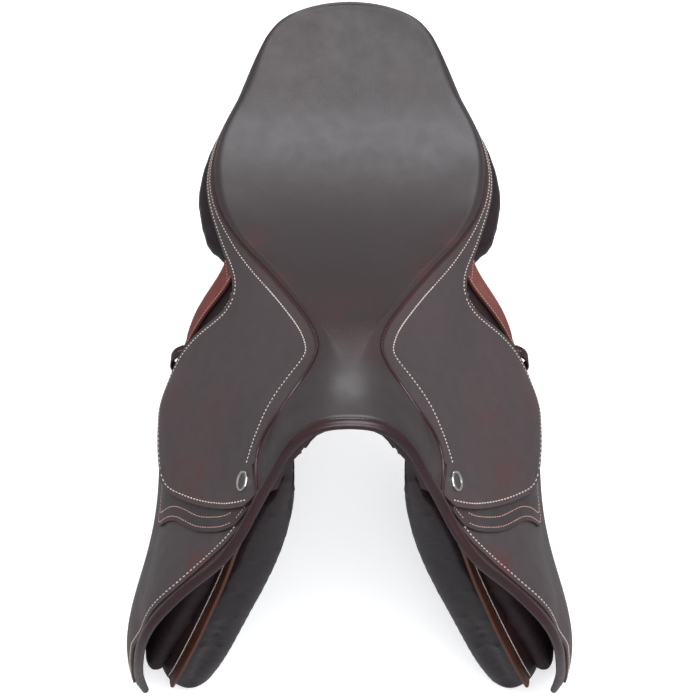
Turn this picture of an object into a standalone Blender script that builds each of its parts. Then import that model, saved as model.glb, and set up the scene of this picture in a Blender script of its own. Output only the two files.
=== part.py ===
"""Close-contact jumping saddle, 17.5 inch seat.

Frame: metres, +Z up, +X to the near (left) side of the saddle, -Y to the front (pommel).
Lengths below are millimetres; mm() turns them into metres.
"""

import math

import bmesh
import bpy
import numpy as np
from mathutils import Matrix, Vector

for old in list(bpy.data.objects):
    bpy.data.objects.remove(old, do_unlink=True)

# ---------------------------------------------------------------- dimensions
SKIRT_T = 2.6                  # skirt leather
BAND_OUT, BAND_T = 3.2, 1.5    # reinforcement band: depth of its outer face, thickness
FLAP_OUT, FLAP_T = 5.4, 3.0    # flap: depth of its outer face, thickness
SWEAT_T = 3.0                  # sweat flap leather
SEAT_T = 2.6                   # seat leather
FOAM_T = 14.0                  # seat foam
ROLL_R = 4.4                   # rolled front edge of the flaps
WELT_R = 4.6                   # rolled welt of the head
PIPE_R = 1.7                   # seat piping
GAP = 0.4                      # clearance between pieces that touch
HINGE_FRONT = (79.5, -216.0, 64.0)   # line about which flap and skirt lift
HINGE_REAR = (109.5, 10.0, 53.0)

MAIN = bpy.data.collections.new("jumping_saddle")
bpy.context.scene.collection.children.link(MAIN)
CUTTERS = bpy.data.collections.new("cutters")
bpy.context.scene.collection.children.link(CUTTERS)


def mm(p):
    return Vector((p[0] / 1000, p[1] / 1000, p[2] / 1000))


# ---------------------------------------------------------------- curves and tables
class Spline:
    """Natural cubic spline through knots (t, value or vector)."""

    def __init__(self, t, v):
        self.t = np.asarray(t, float)
        self.v = np.asarray(v, float)
        if self.v.ndim == 1:
            self.v = self.v[:, None]
        n, h = len(self.t), np.diff(self.t)
        a, b = np.zeros((n, n)), np.zeros((n, self.v.shape[1]))
        a[0, 0] = a[-1, -1] = 1
        for i in range(1, n - 1):
            a[i, i - 1], a[i, i], a[i, i + 1] = h[i - 1], 2 * (h[i - 1] + h[i]), h[i]
            b[i] = 6 * ((self.v[i + 1] - self.v[i]) / h[i] - (self.v[i] - self.v[i - 1]) / h[i - 1])
        self.m = np.linalg.solve(a, b)

    def __call__(self, x):
        x = np.clip(np.atleast_1d(np.asarray(x, float)), self.t[0], self.t[-1])
        i = np.clip(np.searchsorted(self.t, x) - 1, 0, len(self.t) - 2)
        h = (self.t[i + 1] - self.t[i])[:, None]
        lo, hi = (self.t[i + 1] - x)[:, None], (x - self.t[i])[:, None]
        r = (self.m[i] * lo**3 + self.m[i + 1] * hi**3) / (6 * h)
        r += (self.v[i] / h - self.m[i] * h / 6) * lo + (self.v[i + 1] / h - self.m[i + 1] * h / 6) * hi
        return r if r.shape[1] > 1 else r[:, 0]


def along(points):
    """Spline through points, run by chord length from 0 to 1."""
    p = np.asarray(points, float)
    d = np.concatenate([[0], np.cumsum(np.linalg.norm(np.diff(p, axis=0), axis=1))])
    return Spline(d / d[-1], p)


def even(curve, n, lo=0.0, hi=1.0):
    """n points evenly spaced by length on a curve between two of its parameters."""
    t = np.linspace(lo, hi, 400)
    p = curve(t)
    d = np.concatenate([[0], np.cumsum(np.linalg.norm(np.diff(p, axis=0), axis=1))])
    return curve(np.interp(np.linspace(0, d[-1], n), d, t))


def ramp(x, lo, hi):
    """Smooth step from 0 at lo to 1 at hi."""
    t = np.clip((np.asarray(x, float) - lo) / (hi - lo), 0, 1)
    return t * t * (3 - 2 * t)


class Side:
    """Half-width x of a side surface over station y and height z, from a table of section widths."""

    def __init__(self, ys, rows):
        zs = sorted(rows)
        self.y0, self.z0, self.step = ys[0], zs[0], 2.0
        self.gy = np.arange(ys[0], ys[-1] + 0.1, self.step)
        self.gz = np.arange(zs[0], zs[-1] + 0.1, self.step)
        by_row = np.array([Spline(ys, rows[z])(self.gy) for z in zs])
        self.g = Spline(zs, by_row)(self.gz)

    def __call__(self, y, z):
        a = np.clip((np.asarray(y, float) - self.y0) / self.step, 0, len(self.gy) - 1.001)
        b = np.clip((np.asarray(z, float) - self.z0) / self.step, 0, len(self.gz) - 1.001)
        i, j = a.astype(int), b.astype(int)
        u, v = a - i, b - j
        g = self.g
        return (g[j, i] * (1 - u) + g[j, i + 1] * u) * (1 - v) + (g[j + 1, i] * (1 - u) + g[j + 1, i + 1] * u) * v

    def normal(self, y, z):
        y, z = np.asarray(y, float), np.asarray(z, float)
        e = 5.0
        xy = (self(y + e, z) - self(y - e, z)) / (2 * e)
        xz = (self(y, z + e) - self(y, z - e)) / (2 * e)
        n = np.stack([np.ones_like(xy), -xy, -xz], -1)
        return n / np.linalg.norm(n, axis=-1, keepdims=True)

    def point(self, y, z, depth=0.0):
        """Points on the surface, moved inwards along its normal by depth."""
        y, z = np.asarray(y, float) + 0.0 * np.asarray(z, float), np.asarray(z, float) + 0.0 * np.asarray(y, float)
        return np.stack([self(y, z), y, z], -1) - self.normal(y, z) * (np.asarray(depth, float)[..., None] if np.ndim(depth) else depth)


# Outer surface of skirts and flaps: half-widths at sections along the saddle.
OUTER = Side([-275, -240, -200, -150, -100, -50, 0, 50, 100, 150, 200], {
    120: [40, 42, 46, 40, 12, 10, 38, 70, 98, 104, 95],
    90: [58, 59, 61.5, 66, 53, 50, 68, 101, 124, 126, 112],
    60: [72, 73, 77, 84, 88, 86, 98, 117, 136, 136, 120],
    30: [86, 90, 95, 101, 116, 117, 122, 130, 141, 141, 128],
    0: [108, 113, 113, 122, 140, 146, 147, 148, 150, 150, 140],
    -30: [138, 136, 134, 142, 161, 168, 166, 165, 163, 160, 150],
    -60: [163, 166, 162, 162, 174, 178, 178, 178, 176, 170, 160],
    -100: [180, 188, 185, 180, 181, 183, 186, 187, 186, 180, 170],
    -150: [189, 200, 199, 192, 188, 189, 192, 194, 193, 190, 180],
    -220: [196, 210, 215, 209, 202, 200, 202, 203, 202, 200, 190],
    -300: [196, 214, 228, 230, 222, 214, 212, 212, 210, 206, 200],
})
# Outer surface of the sweat flaps, further in.
INNER = Side([-255, -200, -150, -100, -50, 0, 50, 100], {
    60: [58, 62, 66, 70, 72, 84, 104, 116],
    30: [80, 82, 86, 97, 101, 105, 114, 122],
    0: [92, 95, 103, 119, 128, 130, 132, 136],
    -35: [100, 105, 117, 139, 149, 151, 150, 150],
    -73: [112, 120, 140, 156, 162, 165.5, 165, 164],
    -123: [130, 143, 159, 165, 168, 173, 174, 172],
    -184: [153, 166, 178, 177.5, 176.5, 180.5, 181, 180],
    -245: [175, 186, 193, 191, 187, 188, 188, 187],
    -300: [188, 198, 205, 202, 197, 196, 195, 194],
})

# Seam between seat and skirt in side view, front to rear: (y, z); it lies on the outer surface.
_seam = along([
    (-212, 63.5), (-193, 64.5), (-181, 69), (-172, 81), (-165, 98), (-157, 110), (-143, 116), (-124, 115), (-105, 111),
    (-88, 106), (-69, 100.5), (-48, 94.5), (-22, 88.5), (2, 84.5), (22, 82), (44, 80.5), (70, 81), (98, 86),
    (126, 92), (155, 99), (180, 106), (198, 113)])(np.linspace(0, 1, 200))
SEAM = along(np.stack([OUTER(_seam[:, 0], _seam[:, 1]), _seam[:, 0], _seam[:, 1]], -1))

# Front edge of the head and flap: (x, y, z), from the top of the pommel down to the toe of the flap
FRONT = along([
    (0, -200, 147), (13, -200, 145.5), (26.5, -201, 140.5), (38.3, -203, 130.5), (49, -206, 114), (59.5, -211, 89.5),
    (70.5, -216, 64), (79, -223, 46), (86.6, -230.5, 32.6), (93.8, -236.3, 21.5), (101.3, -241, 11), (116.3, -245.5, -8.5),
    (134.5, -249.5, -29), (152.5, -257.5, -47),
    (167.5, -264, -67), (181, -268, -100), (190.5, -266.5, -146), (198, -259, -202), (201, -248, -262)])

# ---------------------------------------------------------------- hinge plane
H0, H1 = np.array(HINGE_FRONT), np.array(HINGE_REAR)
AXIS = (H1 - H0) / np.linalg.norm(H1 - H0)
INWARD = np.array([-0.76, 0.0, -0.65])
INWARD = INWARD - AXIS * (INWARD @ AXIS)
INWARD /= np.linalg.norm(INWARD)
UPWARD = np.cross(AXIS, INWARD)
if UPWARD[2] < 0:
    UPWARD = -UPWARD


def above(p):
    """Height of points over the plane that holds the hinge line and the inward direction."""
    return (np.asarray(p) - H0) @ UPWARD


def world(s, u, d):
    """Point at s along the hinge from its front end, u over the hinge plane and d inwards of the hinge line."""
    return H0 + AXIS * s + UPWARD * u + INWARD * d


def cut_height(y, depths, level):
    """Height z on the outer surface at station y whose points at all these depths clear a level over or under the plane."""
    z = np.linspace(110, -20, 521)
    hs = [above(OUTER.point(np.full(z.shape, float(y)), z, d)) for d in depths]
    if level > 0:
        ok = np.min(hs, axis=0) >= level
        return z[np.nonzero(ok)[0][-1]]
    ok = np.max(hs, axis=0) <= level
    return z[np.nonzero(ok)[0][0]]


# ---------------------------------------------------------------- materials
def material(name, colour, roughness, metallic=0.0):
    m = bpy.data.materials.new(name)
    m.use_nodes = True
    b = m.node_tree.nodes["Principled BSDF"]
    b.inputs["Base Color"].default_value = (*colour, 1)
    b.inputs["Roughness"].default_value = roughness
    b.inputs["Metallic"].default_value = metallic
    return m


LEATHER = material("seat_leather", (0.060, 0.048, 0.046), 0.42)
SKIRT_LEATHER = material("skirt_leather", (0.052, 0.042, 0.040), 0.45)
PIPING = material("piping_leather", (0.075, 0.030, 0.028), 0.40)
RUSSET = material("russet_leather", (0.20, 0.075, 0.055), 0.50)
DARK = material("dark_leather", (0.018, 0.014, 0.015), 0.50)
STEEL = material("stainless_steel", (0.60, 0.58, 0.55), 0.22, 1.0)
PLATE = material("black_steel", (0.05, 0.05, 0.055), 0.45, 1.0)
WOOD = material("laminated_beech", (0.42, 0.26, 0.13), 0.55)
WEB = material("webbing", (0.45, 0.38, 0.28), 0.85)
FOAM = material("foam", (0.55, 0.50, 0.36), 0.90)


# ---------------------------------------------------------------- builders
def finish(name, mesh, mat, angle=40.0):
    mesh.materials.append(mat)
    mesh.shade_smooth()
    mesh.set_sharp_from_angle(angle=math.radians(angle))
    obj = bpy.data.objects.new(name, mesh)
    MAIN.objects.link(obj)
    return obj


def to_mesh(name, bm):
    mesh = bpy.data.meshes.new(name)
    bm.to_mesh(mesh)
    bm.free()
    return mesh


def leather(name, grid, thickness, mat, side=1):
    """A leather sheet: the grid is its outer face, Solidify gives it thickness inwards."""
    g = np.array(grid, float)
    g[..., 0] *= side
    n, m = g.shape[:2]
    bm = bmesh.new()
    v = [[bm.verts.new(mm(g[i, j])) for j in range(m)] for i in range(n)]
    for i in range(n - 1):
        for j in range(m - 1):
            bm.faces.new((v[i][j], v[i + 1][j], v[i + 1][j + 1], v[i][j + 1]))
    bm.normal_update()
    if sum(f.normal.dot(Vector((side * 0.8, 0, 0.6))) for f in bm.faces) < 0:
        bmesh.ops.reverse_faces(bm, faces=bm.faces)
    obj = finish(name, to_mesh(name, bm), mat)
    mod = obj.modifiers.new("leather", "SOLIDIFY")
    mod.thickness = thickness / 1000
    mod.offset = -1.0
    return obj


def between(name, top, bottom, mat, open_end=False):
    """Closed body between two grids of the same size; with open_end the last row already closes on itself."""
    n, m = top.shape[:2]
    bm = bmesh.new()
    a = [[bm.verts.new(mm(top[i, j])) for j in range(m)] for i in range(n)]
    b = [[bm.verts.new(mm(bottom[i, j])) for j in range(m)] for i in range(n)]
    for i in range(n - 1):
        for j in range(m - 1):
            bm.faces.new((a[i][j], a[i + 1][j], a[i + 1][j + 1], a[i][j + 1]))
            bm.faces.new((b[i][j], b[i][j + 1], b[i + 1][j + 1], b[i + 1][j]))
        for j in (0, m - 1):
            bm.faces.new((a[i][j], b[i][j], b[i + 1][j], a[i + 1][j]))
    for i in (0,) if open_end else (0, n - 1):
        for j in range(m - 1):
            bm.faces.new((a[i][j], a[i][j + 1], b[i][j + 1], b[i][j]))
    bmesh.ops.remove_doubles(bm, verts=bm.verts, dist=1e-6)
    bmesh.ops.recalc_face_normals(bm, faces=bm.faces)
    return finish(name, to_mesh(name, bm), mat)


def loft(name, rings, mat, side=1, angle=50.0):
    """Closed body through rings of points, with a fan over each end."""
    r = np.array(rings, float)
    r[..., 0] *= side
    n, m = r.shape[:2]
    bm = bmesh.new()
    v = [[bm.verts.new(mm(r[i, j])) for j in range(m)] for i in range(n)]
    for i in range(n - 1):
        for j in range(m):
            k = (j + 1) % m
            bm.faces.new((v[i][j], v[i + 1][j], v[i + 1][k], v[i][k]))
    for i in (0, n - 1):
        c = bm.verts.new(mm(r[i].mean(axis=0)))
        for j in range(m):
            bm.faces.new((v[i][j], v[i][(j + 1) % m], c))
    bmesh.ops.recalc_face_normals(bm, faces=bm.faces)
    return finish(name, to_mesh(name, bm), mat, angle=angle)


def tube(name, points, radius, mat, side=1, resolution=1, cyclic=False, taper=None):
    """A roll, piping or wire: a poly curve with a round bevel."""
    c = bpy.data.curves.new(name, "CURVE")
    c.dimensions = "3D"
    c.bevel_depth = radius / 1000
    c.bevel_resolution = resolution
    c.use_fill_caps = not cyclic
    s = c.splines.new("POLY")
    s.points.add(len(points) - 1)
    for i, p in enumerate(points):
        s.points[i].co = (side * p[0] / 1000, p[1] / 1000, p[2] / 1000, 1)
        if taper is not None:
            s.points[i].radius = float(taper[i])
    s.use_cyclic_u = cyclic
    c.materials.append(mat)
    obj = bpy.data.objects.new(name, c)
    MAIN.objects.link(obj)
    return obj


def extruded(name, outline, start, end, mat, side=1):
    """Closed prism: a polygon of points, moved by the vectors start and end."""
    loop = np.asarray(outline, float)
    rings = np.stack([loop + np.asarray(start, float), loop + np.asarray(end, float)])
    rings[..., 0] *= side
    bm = bmesh.new()
    v = [[bm.verts.new(mm(p)) for p in ring] for ring in rings]
    n = len(loop)
    bm.faces.new(v[0])
    bm.faces.new(v[1])
    for j in range(n):
        k = (j + 1) % n
        bm.faces.new((v[0][j], v[0][k], v[1][k], v[1][j]))
    bmesh.ops.recalc_face_normals(bm, faces=bm.faces)
    return finish(name, to_mesh(name, bm), mat, angle=30.0)


def rod(name, centre, axis, radius, length, mat, side=1, sides=14):
    """A pin or rivet: a cylinder along an axis through its centre."""
    bm = bmesh.new()
    bmesh.ops.create_cone(bm, cap_ends=True, segments=sides, radius1=radius / 1000, radius2=radius / 1000, depth=length / 1000)
    obj = finish(name, to_mesh(name, bm), mat)
    a = Vector((side * axis[0], axis[1], axis[2])).normalized()
    turn = Vector((0, 0, 1)).rotation_difference(a).to_matrix().to_4x4()
    obj.matrix_world = Matrix.Translation(mm((side * centre[0], centre[1], centre[2]))) @ turn
    return obj


def helper(obj):
    """Keeps an object as a cutter or a tool only."""
    for c in list(obj.users_collection):
        c.objects.unlink(obj)
    CUTTERS.objects.link(obj)
    obj.hide_render = True
    obj.display_type = "WIRE"
    return obj


def boolean(obj, other, operation):
    mod = obj.modifiers.new(operation.lower(), "BOOLEAN")
    mod.operation = operation
    mod.solver = "EXACT"
    mod.object = helper(other)


def coons(top, bottom, front, rear, n, m):
    """Grid of (y, z) inside four edges; top and bottom run front to rear, front and rear run top to bottom."""
    s = np.linspace(0, 1, n)[:, None, None]
    t = np.linspace(0, 1, m)[None, :, None]
    tt, bb = even(along(top), n)[:, None], even(along(bottom), n)[:, None]
    ff, rr = even(along(front), m)[None], even(along(rear), m)[None]
    flat = (1 - s) * (1 - t) * tt[0] + s * (1 - t) * tt[-1] + (1 - s) * t * bb[0] + s * t * bb[-1]
    return (1 - t) * tt + t * bb + (1 - s) * ff + s * rr - flat


# ---------------------------------------------------------------- seat surface
# rim of the seat in plan with its height: from the pommel edge round to the middle of the cantle
RIM = along([
    (68, -208, 72), (71, -193, 73), (68.5, -181, 79), (63, -171, 92), (54, -163, 109), (43, -156, 120),
    (31, -141, 124), (20, -122, 121), (17, -105, 117), (20, -88, 112), (28.5, -69, 107), (41, -47, 101.5),
    (56, -21, 96.5), (71, 2, 93.5), (86.5, 22, 91.5), (100.5, 44, 91), (112.5, 70, 93), (119, 98, 100),
    (119.5, 128, 110), (111, 150, 123), (98, 168, 138), (89, 182, 153.5), (80, 194.5, 170.5), (65.5, 205.8, 188),
    (44, 212, 198), (22, 215.7, 201.9), (0, 217, 202.8)])
# middle line of the seat in side view: (y, z)
MIDDLE = Spline(
    [-195, -180, -160, -138, -110, -75, -40, 0, 35, 70, 105, 135, 160, 180, 195, 207, 217],
    [150.3, 147.5, 140.5, 131, 119.5, 107.5, 98.5, 91, 88.5, 90.5, 98, 109.5, 126, 147, 168, 187.5, 202.8])
SPREAD = Spline([0, 0.12, 0.26, 0.36, 0.48, 0.60, 0.70, 0.80, 0.90, 1.0],
                [0, 0.07, 0.17, 0.30, 0.46, 0.63, 0.76, 0.88, 0.955, 1.0])
SPINE_END = 165.0


def seat_point(u, v):
    """Seat surface: u runs round the rim from the pommel to the cantle, v from the middle line (0) to the rim (1)."""
    u = np.asarray(u, float)
    rim = RIM(u)
    ys = -194.5 + (SPINE_END + 194.5) * SPREAD(u)
    y = ys + (rim[:, 1] - ys) * np.power(v, np.interp(rim[:, 1], [-208, -175], [2.4, 1.0]))
    drop = rim[:, 2] - MIDDLE(rim[:, 1])
    power = np.interp(rim[:, 1], [-208, -160, -110, 0, 100, 160, 215], [2.7, 2.2, 2.0, 2.6, 3.0, 2.6, 2.0])
    return np.stack([rim[:, 0] * v, y, MIDDLE(y) + drop * np.power(v, power)], -1)


def plan_match(curve, other, t):
    """Parameter on the other curve of the point nearest in plan to curve(t)."""
    grid = np.linspace(0, 1, 2001)
    o = other(grid)[:, :2]
    return np.array([grid[int(np.argmin(((o - p[:2]) ** 2).sum(axis=1)))] for p in curve(np.atleast_1d(t))])


LAST_SIDE = plan_match(along([(82, 198, 0), (82, 199, 0)]), RIM, [0.0])[0]
_u = np.linspace(0, LAST_SIDE, 24)
_s = np.maximum.accumulate(plan_match(RIM, SEAM, _u))
_s[0], _s[-1] = 0.0, 1.0
_k = [0, 1, 3, 5, 7, 9, 11, 13, 15, 17, 19, 21, 23]
_s = np.interp(_u, _u[_k], _s[_k])


def seam_for(us):
    """Lower edge of the seat's side wall: the skirt seam, then the back of the cantle."""
    end = SEAM(1.0)[0]
    out = []
    for u in us:
        if u <= LAST_SIDE:
            out.append(SEAM(np.interp(u, _u, _s))[0])
        else:
            a = (u - LAST_SIDE) / (1 - LAST_SIDE) * math.pi / 2
            out.append(np.array([end[0] * math.cos(a), end[1] + (212 - end[1]) * math.sin(a), end[2] + 4 * math.sin(a)]))
    return np.array(out)


def seat_wall(us, rows):
    """Side wall of the seat from under the rim to a little over the seam, slightly bulged."""
    rim, seam = RIM(us), seam_for(us)
    reach = np.linalg.norm(seam - rim, axis=1)
    end = 1 - (PIPE_R + 1.9) / reach
    out = []
    for w in rows:
        f = (w * end)[:, None]
        p = rim * (1 - f) + seam * f
        away = np.stack([rim[:, 0], np.maximum(rim[:, 1] - 90, 0), np.zeros(len(us))], -1)
        away /= np.linalg.norm(away, axis=1, keepdims=True) + 1e-9
        p = p + away * (math.sin(math.pi * w) * np.interp(reach, [5, 12, 60], [0.0, 0.8, 2.6]))[:, None]
        out.append(p)
    return np.stack(out, axis=1)


def even_stations(n):
    """n stations round the rim, evenly spaced by length."""
    t = np.linspace(0, 1, 800)
    p = RIM(t)
    d = np.concatenate([[0], np.cumsum(np.linalg.norm(np.diff(p, axis=0), axis=1))])
    return np.interp(np.linspace(0, d[-1], n), d, t)


def seat_normals(grid):
    n = np.cross(np.gradient(grid, axis=0), np.gradient(grid, axis=1))
    if n[len(n) // 2, 0, 2] < 0:
        n = -n
    n[:, 0, 0] = 0
    n[-1, :, 0] = 0
    return n / (np.linalg.norm(n, axis=-1, keepdims=True) + 1e-12)


def mirrored(half):
    """Left half grid, first column on the middle line, joined with its mirror image."""
    other = half[:, :0:-1].copy()
    other[..., 0] *= -1
    return np.concatenate([other, half], axis=1)


def on_middle(grid):
    """Keeps the middle line and the last station in the plane of symmetry."""
    grid[:, 0, 0] = 0
    grid[-1, :, 0] = 0
    grid[..., 0] = np.maximum(grid[..., 0], 0)
    return grid


US = even_stations(33)
VS = [0, 0.22, 0.44, 0.64, 0.80, 0.91, 0.97, 1.0]
SEAT = on_middle(np.concatenate([np.stack([seat_point(US, v) for v in VS], axis=1), seat_wall(US, [0.25, 0.6, 1.0])], axis=1))
seat_in = on_middle(SEAT - seat_normals(SEAT) * SEAT_T)
between("seat_cover", mirrored(SEAT), mirrored(seat_in), LEATHER, open_end=True)

# Foam under the cover: thin over the head, full under the rider.
fu = even_stations(33)[3::2]
fu = np.append(fu, 1.0) if fu[-1] < 1 else fu
top = np.stack([seat_point(fu, v) for v in (0, 0.3, 0.55, 0.72, 0.84)], axis=1)
top = on_middle(top - seat_normals(top) * (SEAT_T + 3.2))
under = top.copy()
under[..., 2] -= np.interp(top[..., 1], [-185, -150, -110, -60, 110, 150, 190], [3.5, 6, 11, FOAM_T, FOAM_T, 7, 4.5])
between("seat_foam", mirrored(top), mirrored(under), FOAM, open_end=True)

# Webbing stretched over the tree rails under the foam.
ws = np.linspace(-95, 150, 12)
wx = np.interp(ws, [-95, -50, 0, 50, 100, 150], [30, 42, 62, 78, 84, 76])
wz = MIDDLE(ws) - SEAT_T - 1 - FOAM_T - 2.2
web = np.array([[(x * f, s, z - 1.5 * (1 - f * f)) for f in np.linspace(-1, 1, 5)] for s, x, z in zip(ws, wx, wz)])
between("seat_webbing", web, web - [0, 0, 1.5], WEB)

# ---------------------------------------------------------------- head: welt, facing, tree, gullet plate
t_cut = np.linspace(0, 0.5, 1001)
over = above(FRONT(t_cut))
T_WELT = t_cut[np.nonzero(over > 3.4)[0][-1]]
T_ROLL = t_cut[np.nonzero(over < -3.6)[0][0]]
w = even(FRONT, 13, 0, T_WELT)
tube("head_welt", np.concatenate([(w * [-1, 1, 1])[:0:-1], w]), WELT_R, LEATHER, resolution=2)

fo = even(FRONT, 12, 0, T_WELT * 0.985)
mouth = even(along([(0, -198, 137.2), (12, -198, 136), (22, -199, 132), (31, -200.5, 124), (38, -202, 114), (44.5, -204, 102),
                    (50, -206.5, 88), (56.5, -210, 67)]), 12)
facing = []
for a, b in zip(fo, mouth):
    d = (b - a) / np.linalg.norm(b - a)
    a2 = a + d * (WELT_R + GAP + 0.15 + 1.1 * (a[2] < 100))
    f = np.linspace(0, 1, 3)[:, None]
    row = a2 * (1 - f) + b * f
    row[:, 1] = np.interp(f[:, 0], [0, 1], [a[1] + 2.2, b[1]])
    facing.append(row)
facing = np.array(facing)
facing = np.concatenate([(facing * [-1, 1, 1])[:0:-1], facing])
between("head_facing", facing, facing + [0, 2.0, 0], DARK)


def arch_body(name, y0, y1, offset, thickness, count, mat):
    """Arch over the withers, parallel to the outer surface: offset inwards from the middle of the tree's arch."""
    p = [(0, 134.8), (13, 133.3), (25, 127.9)]
    for z in (104, 88, 70, 48, 24, 4):
        q = OUTER.point(-187, z, 15.5)
        p.append((q[0], q[2]))
    p = even(along(p), 17)
    d = np.gradient(p, axis=0)
    n = np.stack([-d[:, 1], d[:, 0]], -1)
    n /= np.linalg.norm(n, axis=1, keepdims=True)
    n *= np.where(n[:, 1] < 0, -1, 1)[:, None]
    n[0] = (0, 1)
    p, n = p[:count], n[:count]
    lo, hi = -offset - thickness / 2, -offset + thickness / 2
    half = np.array([[(x + sx * a, y, z + sz * a) for a, y in ((hi, y0), (hi, y1), (lo, y1), (lo, y0))]
                     for (x, z), (sx, sz) in zip(p, n)])
    half[0, :, 0] = 0
    return loft(name, np.concatenate([(half * [-1, 1, 1])[:0:-1], half]), mat, angle=35)


tree = arch_body("tree_frame", -195.3, -178, 0.0, 6.5, 17, WOOD)
arch_body("gullet_plate", -193.5, -180, 4.9, 2.2, 6, PLATE)

RAIL = along([(47, -190, 84), (48, -160, 77), (59, -110, 54), (61, -50, 58), (75, 0, 57), (90, 50, 57), (97, 98, 63),
              (93, 138, 82), (77, 168, 109), (44, 190, 132), (0, 196, 140)])
LEAN = along([(0.7, 0, -0.7), (0.75, 0, -0.66), (0.78, 0, -0.62), (0.9, 0, -0.43), (1, 0, -0.2), (1, 0, 0), (1, 0.1, 0.05),
              (0.92, 0.3, 0.2), (0.7, 0.45, 0.5), (0.3, 0.55, 0.75), (0, 0.6, 0.8)])
ts = np.linspace(0, 1, 20)
rc, lean = RAIL(ts), LEAN(ts)
lean[-1, 0] = 0
lean /= np.linalg.norm(lean, axis=1, keepdims=True)
tang = np.gradient(rc, axis=0)
tang[-1] = (-1, 0, 0)
thin = np.cross(tang, lean)
thin /= np.linalg.norm(thin, axis=1, keepdims=True)
wide = np.interp(rc[:, 1], [-190, -165, -125, -100, -50, 100, 196], [9, 13, 22, 22, 15, 15, 11])[:, None]
ring = np.stack([rc + lean * wide + thin * 3.5, rc + lean * wide - thin * 3.5, rc - lean * wide - thin * 3.5, rc - lean * wide + thin * 3.5], axis=1)
boolean(tree, loft("tree_rails", np.concatenate([ring, (ring * [-1, 1, 1])[:-1][::-1]]), WOOD), "UNION")

# Cantle back, between the seat and the panels.
end = SEAM(1.0)[0]
cb = []
for a in np.linspace(-math.pi / 2, math.pi / 2, 13):
    x, y = end[0] * math.sin(a), end[1] + (212 - end[1]) * math.cos(a)
    zt = end[2] + 4 * math.cos(a) - 2.8
    cb.append([(x * (1 - 0.04 * f), y - 5 * f, zt - 30 * f * (0.55 + 0.45 * math.cos(a))) for f in (0, 0.5, 1)])
cb = np.array(cb)
away = cb - [0, 120, 0]
away[..., 2] = 0
away /= np.linalg.norm(away, axis=-1, keepdims=True)
between("rear_facing", cb, cb - away * 2.2, SKIRT_LEATHER)

# ---------------------------------------------------------------- outlines in side view (y, z)
SKIRT_EDGE = along([(-213, 44), (-205, 25), (-190, -2), (-171.5, -28.5), (-154, -48), (-132, -64), (-111, -62), (-93, -55.5), (-76, -49.5),
                    (-56, -44), (-37, -35), (-25, -24.5), (-15.5, -9), (-10.5, 8), (-8.8, 25), (-7.2, 38), (-2.5, 47), (3, 50.5)])
YOKE_EDGE = along([(4, 52), (12, 54.5), (24, 56), (45, 56.5), (75, 64), (100, 71), (128, 77), (160, 84), (186, 92), (196, 101)])
FLAP_REAR = [(-31, 34), (-40, 0), (-40, -40), (-25, -80), (-5, -130), (5, -190), (0, -240), (-20, -275)]
FLAP_LOW = [(-241, -262), (-215, -283), (-180, -294), (-120, -296), (-60, -289), (-20, -275)]


def flap_depth(z):
    """Depth of the flap's outer face: it comes out to the surface below the skirt and the band."""
    return FLAP_OUT - 6.4 * ramp(-z, 112, 160)


def clear_of_seam(y, reach):
    """Height at station y, under the seam, whose surface point stands this far from the seam."""
    z = np.linspace(121, 30, 365)
    p = OUTER.point(np.full(z.shape, float(y)), z, 0)
    s = SEAM(np.linspace(0, 1, 500))
    d = np.sqrt(((p[:, None] - s[None]) ** 2).sum(-1)).min(axis=1)
    ok = (d >= reach) & (z < np.interp(y, _seam[:, 0], _seam[:, 1]))
    return z[np.nonzero(ok)[0][0]]


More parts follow.
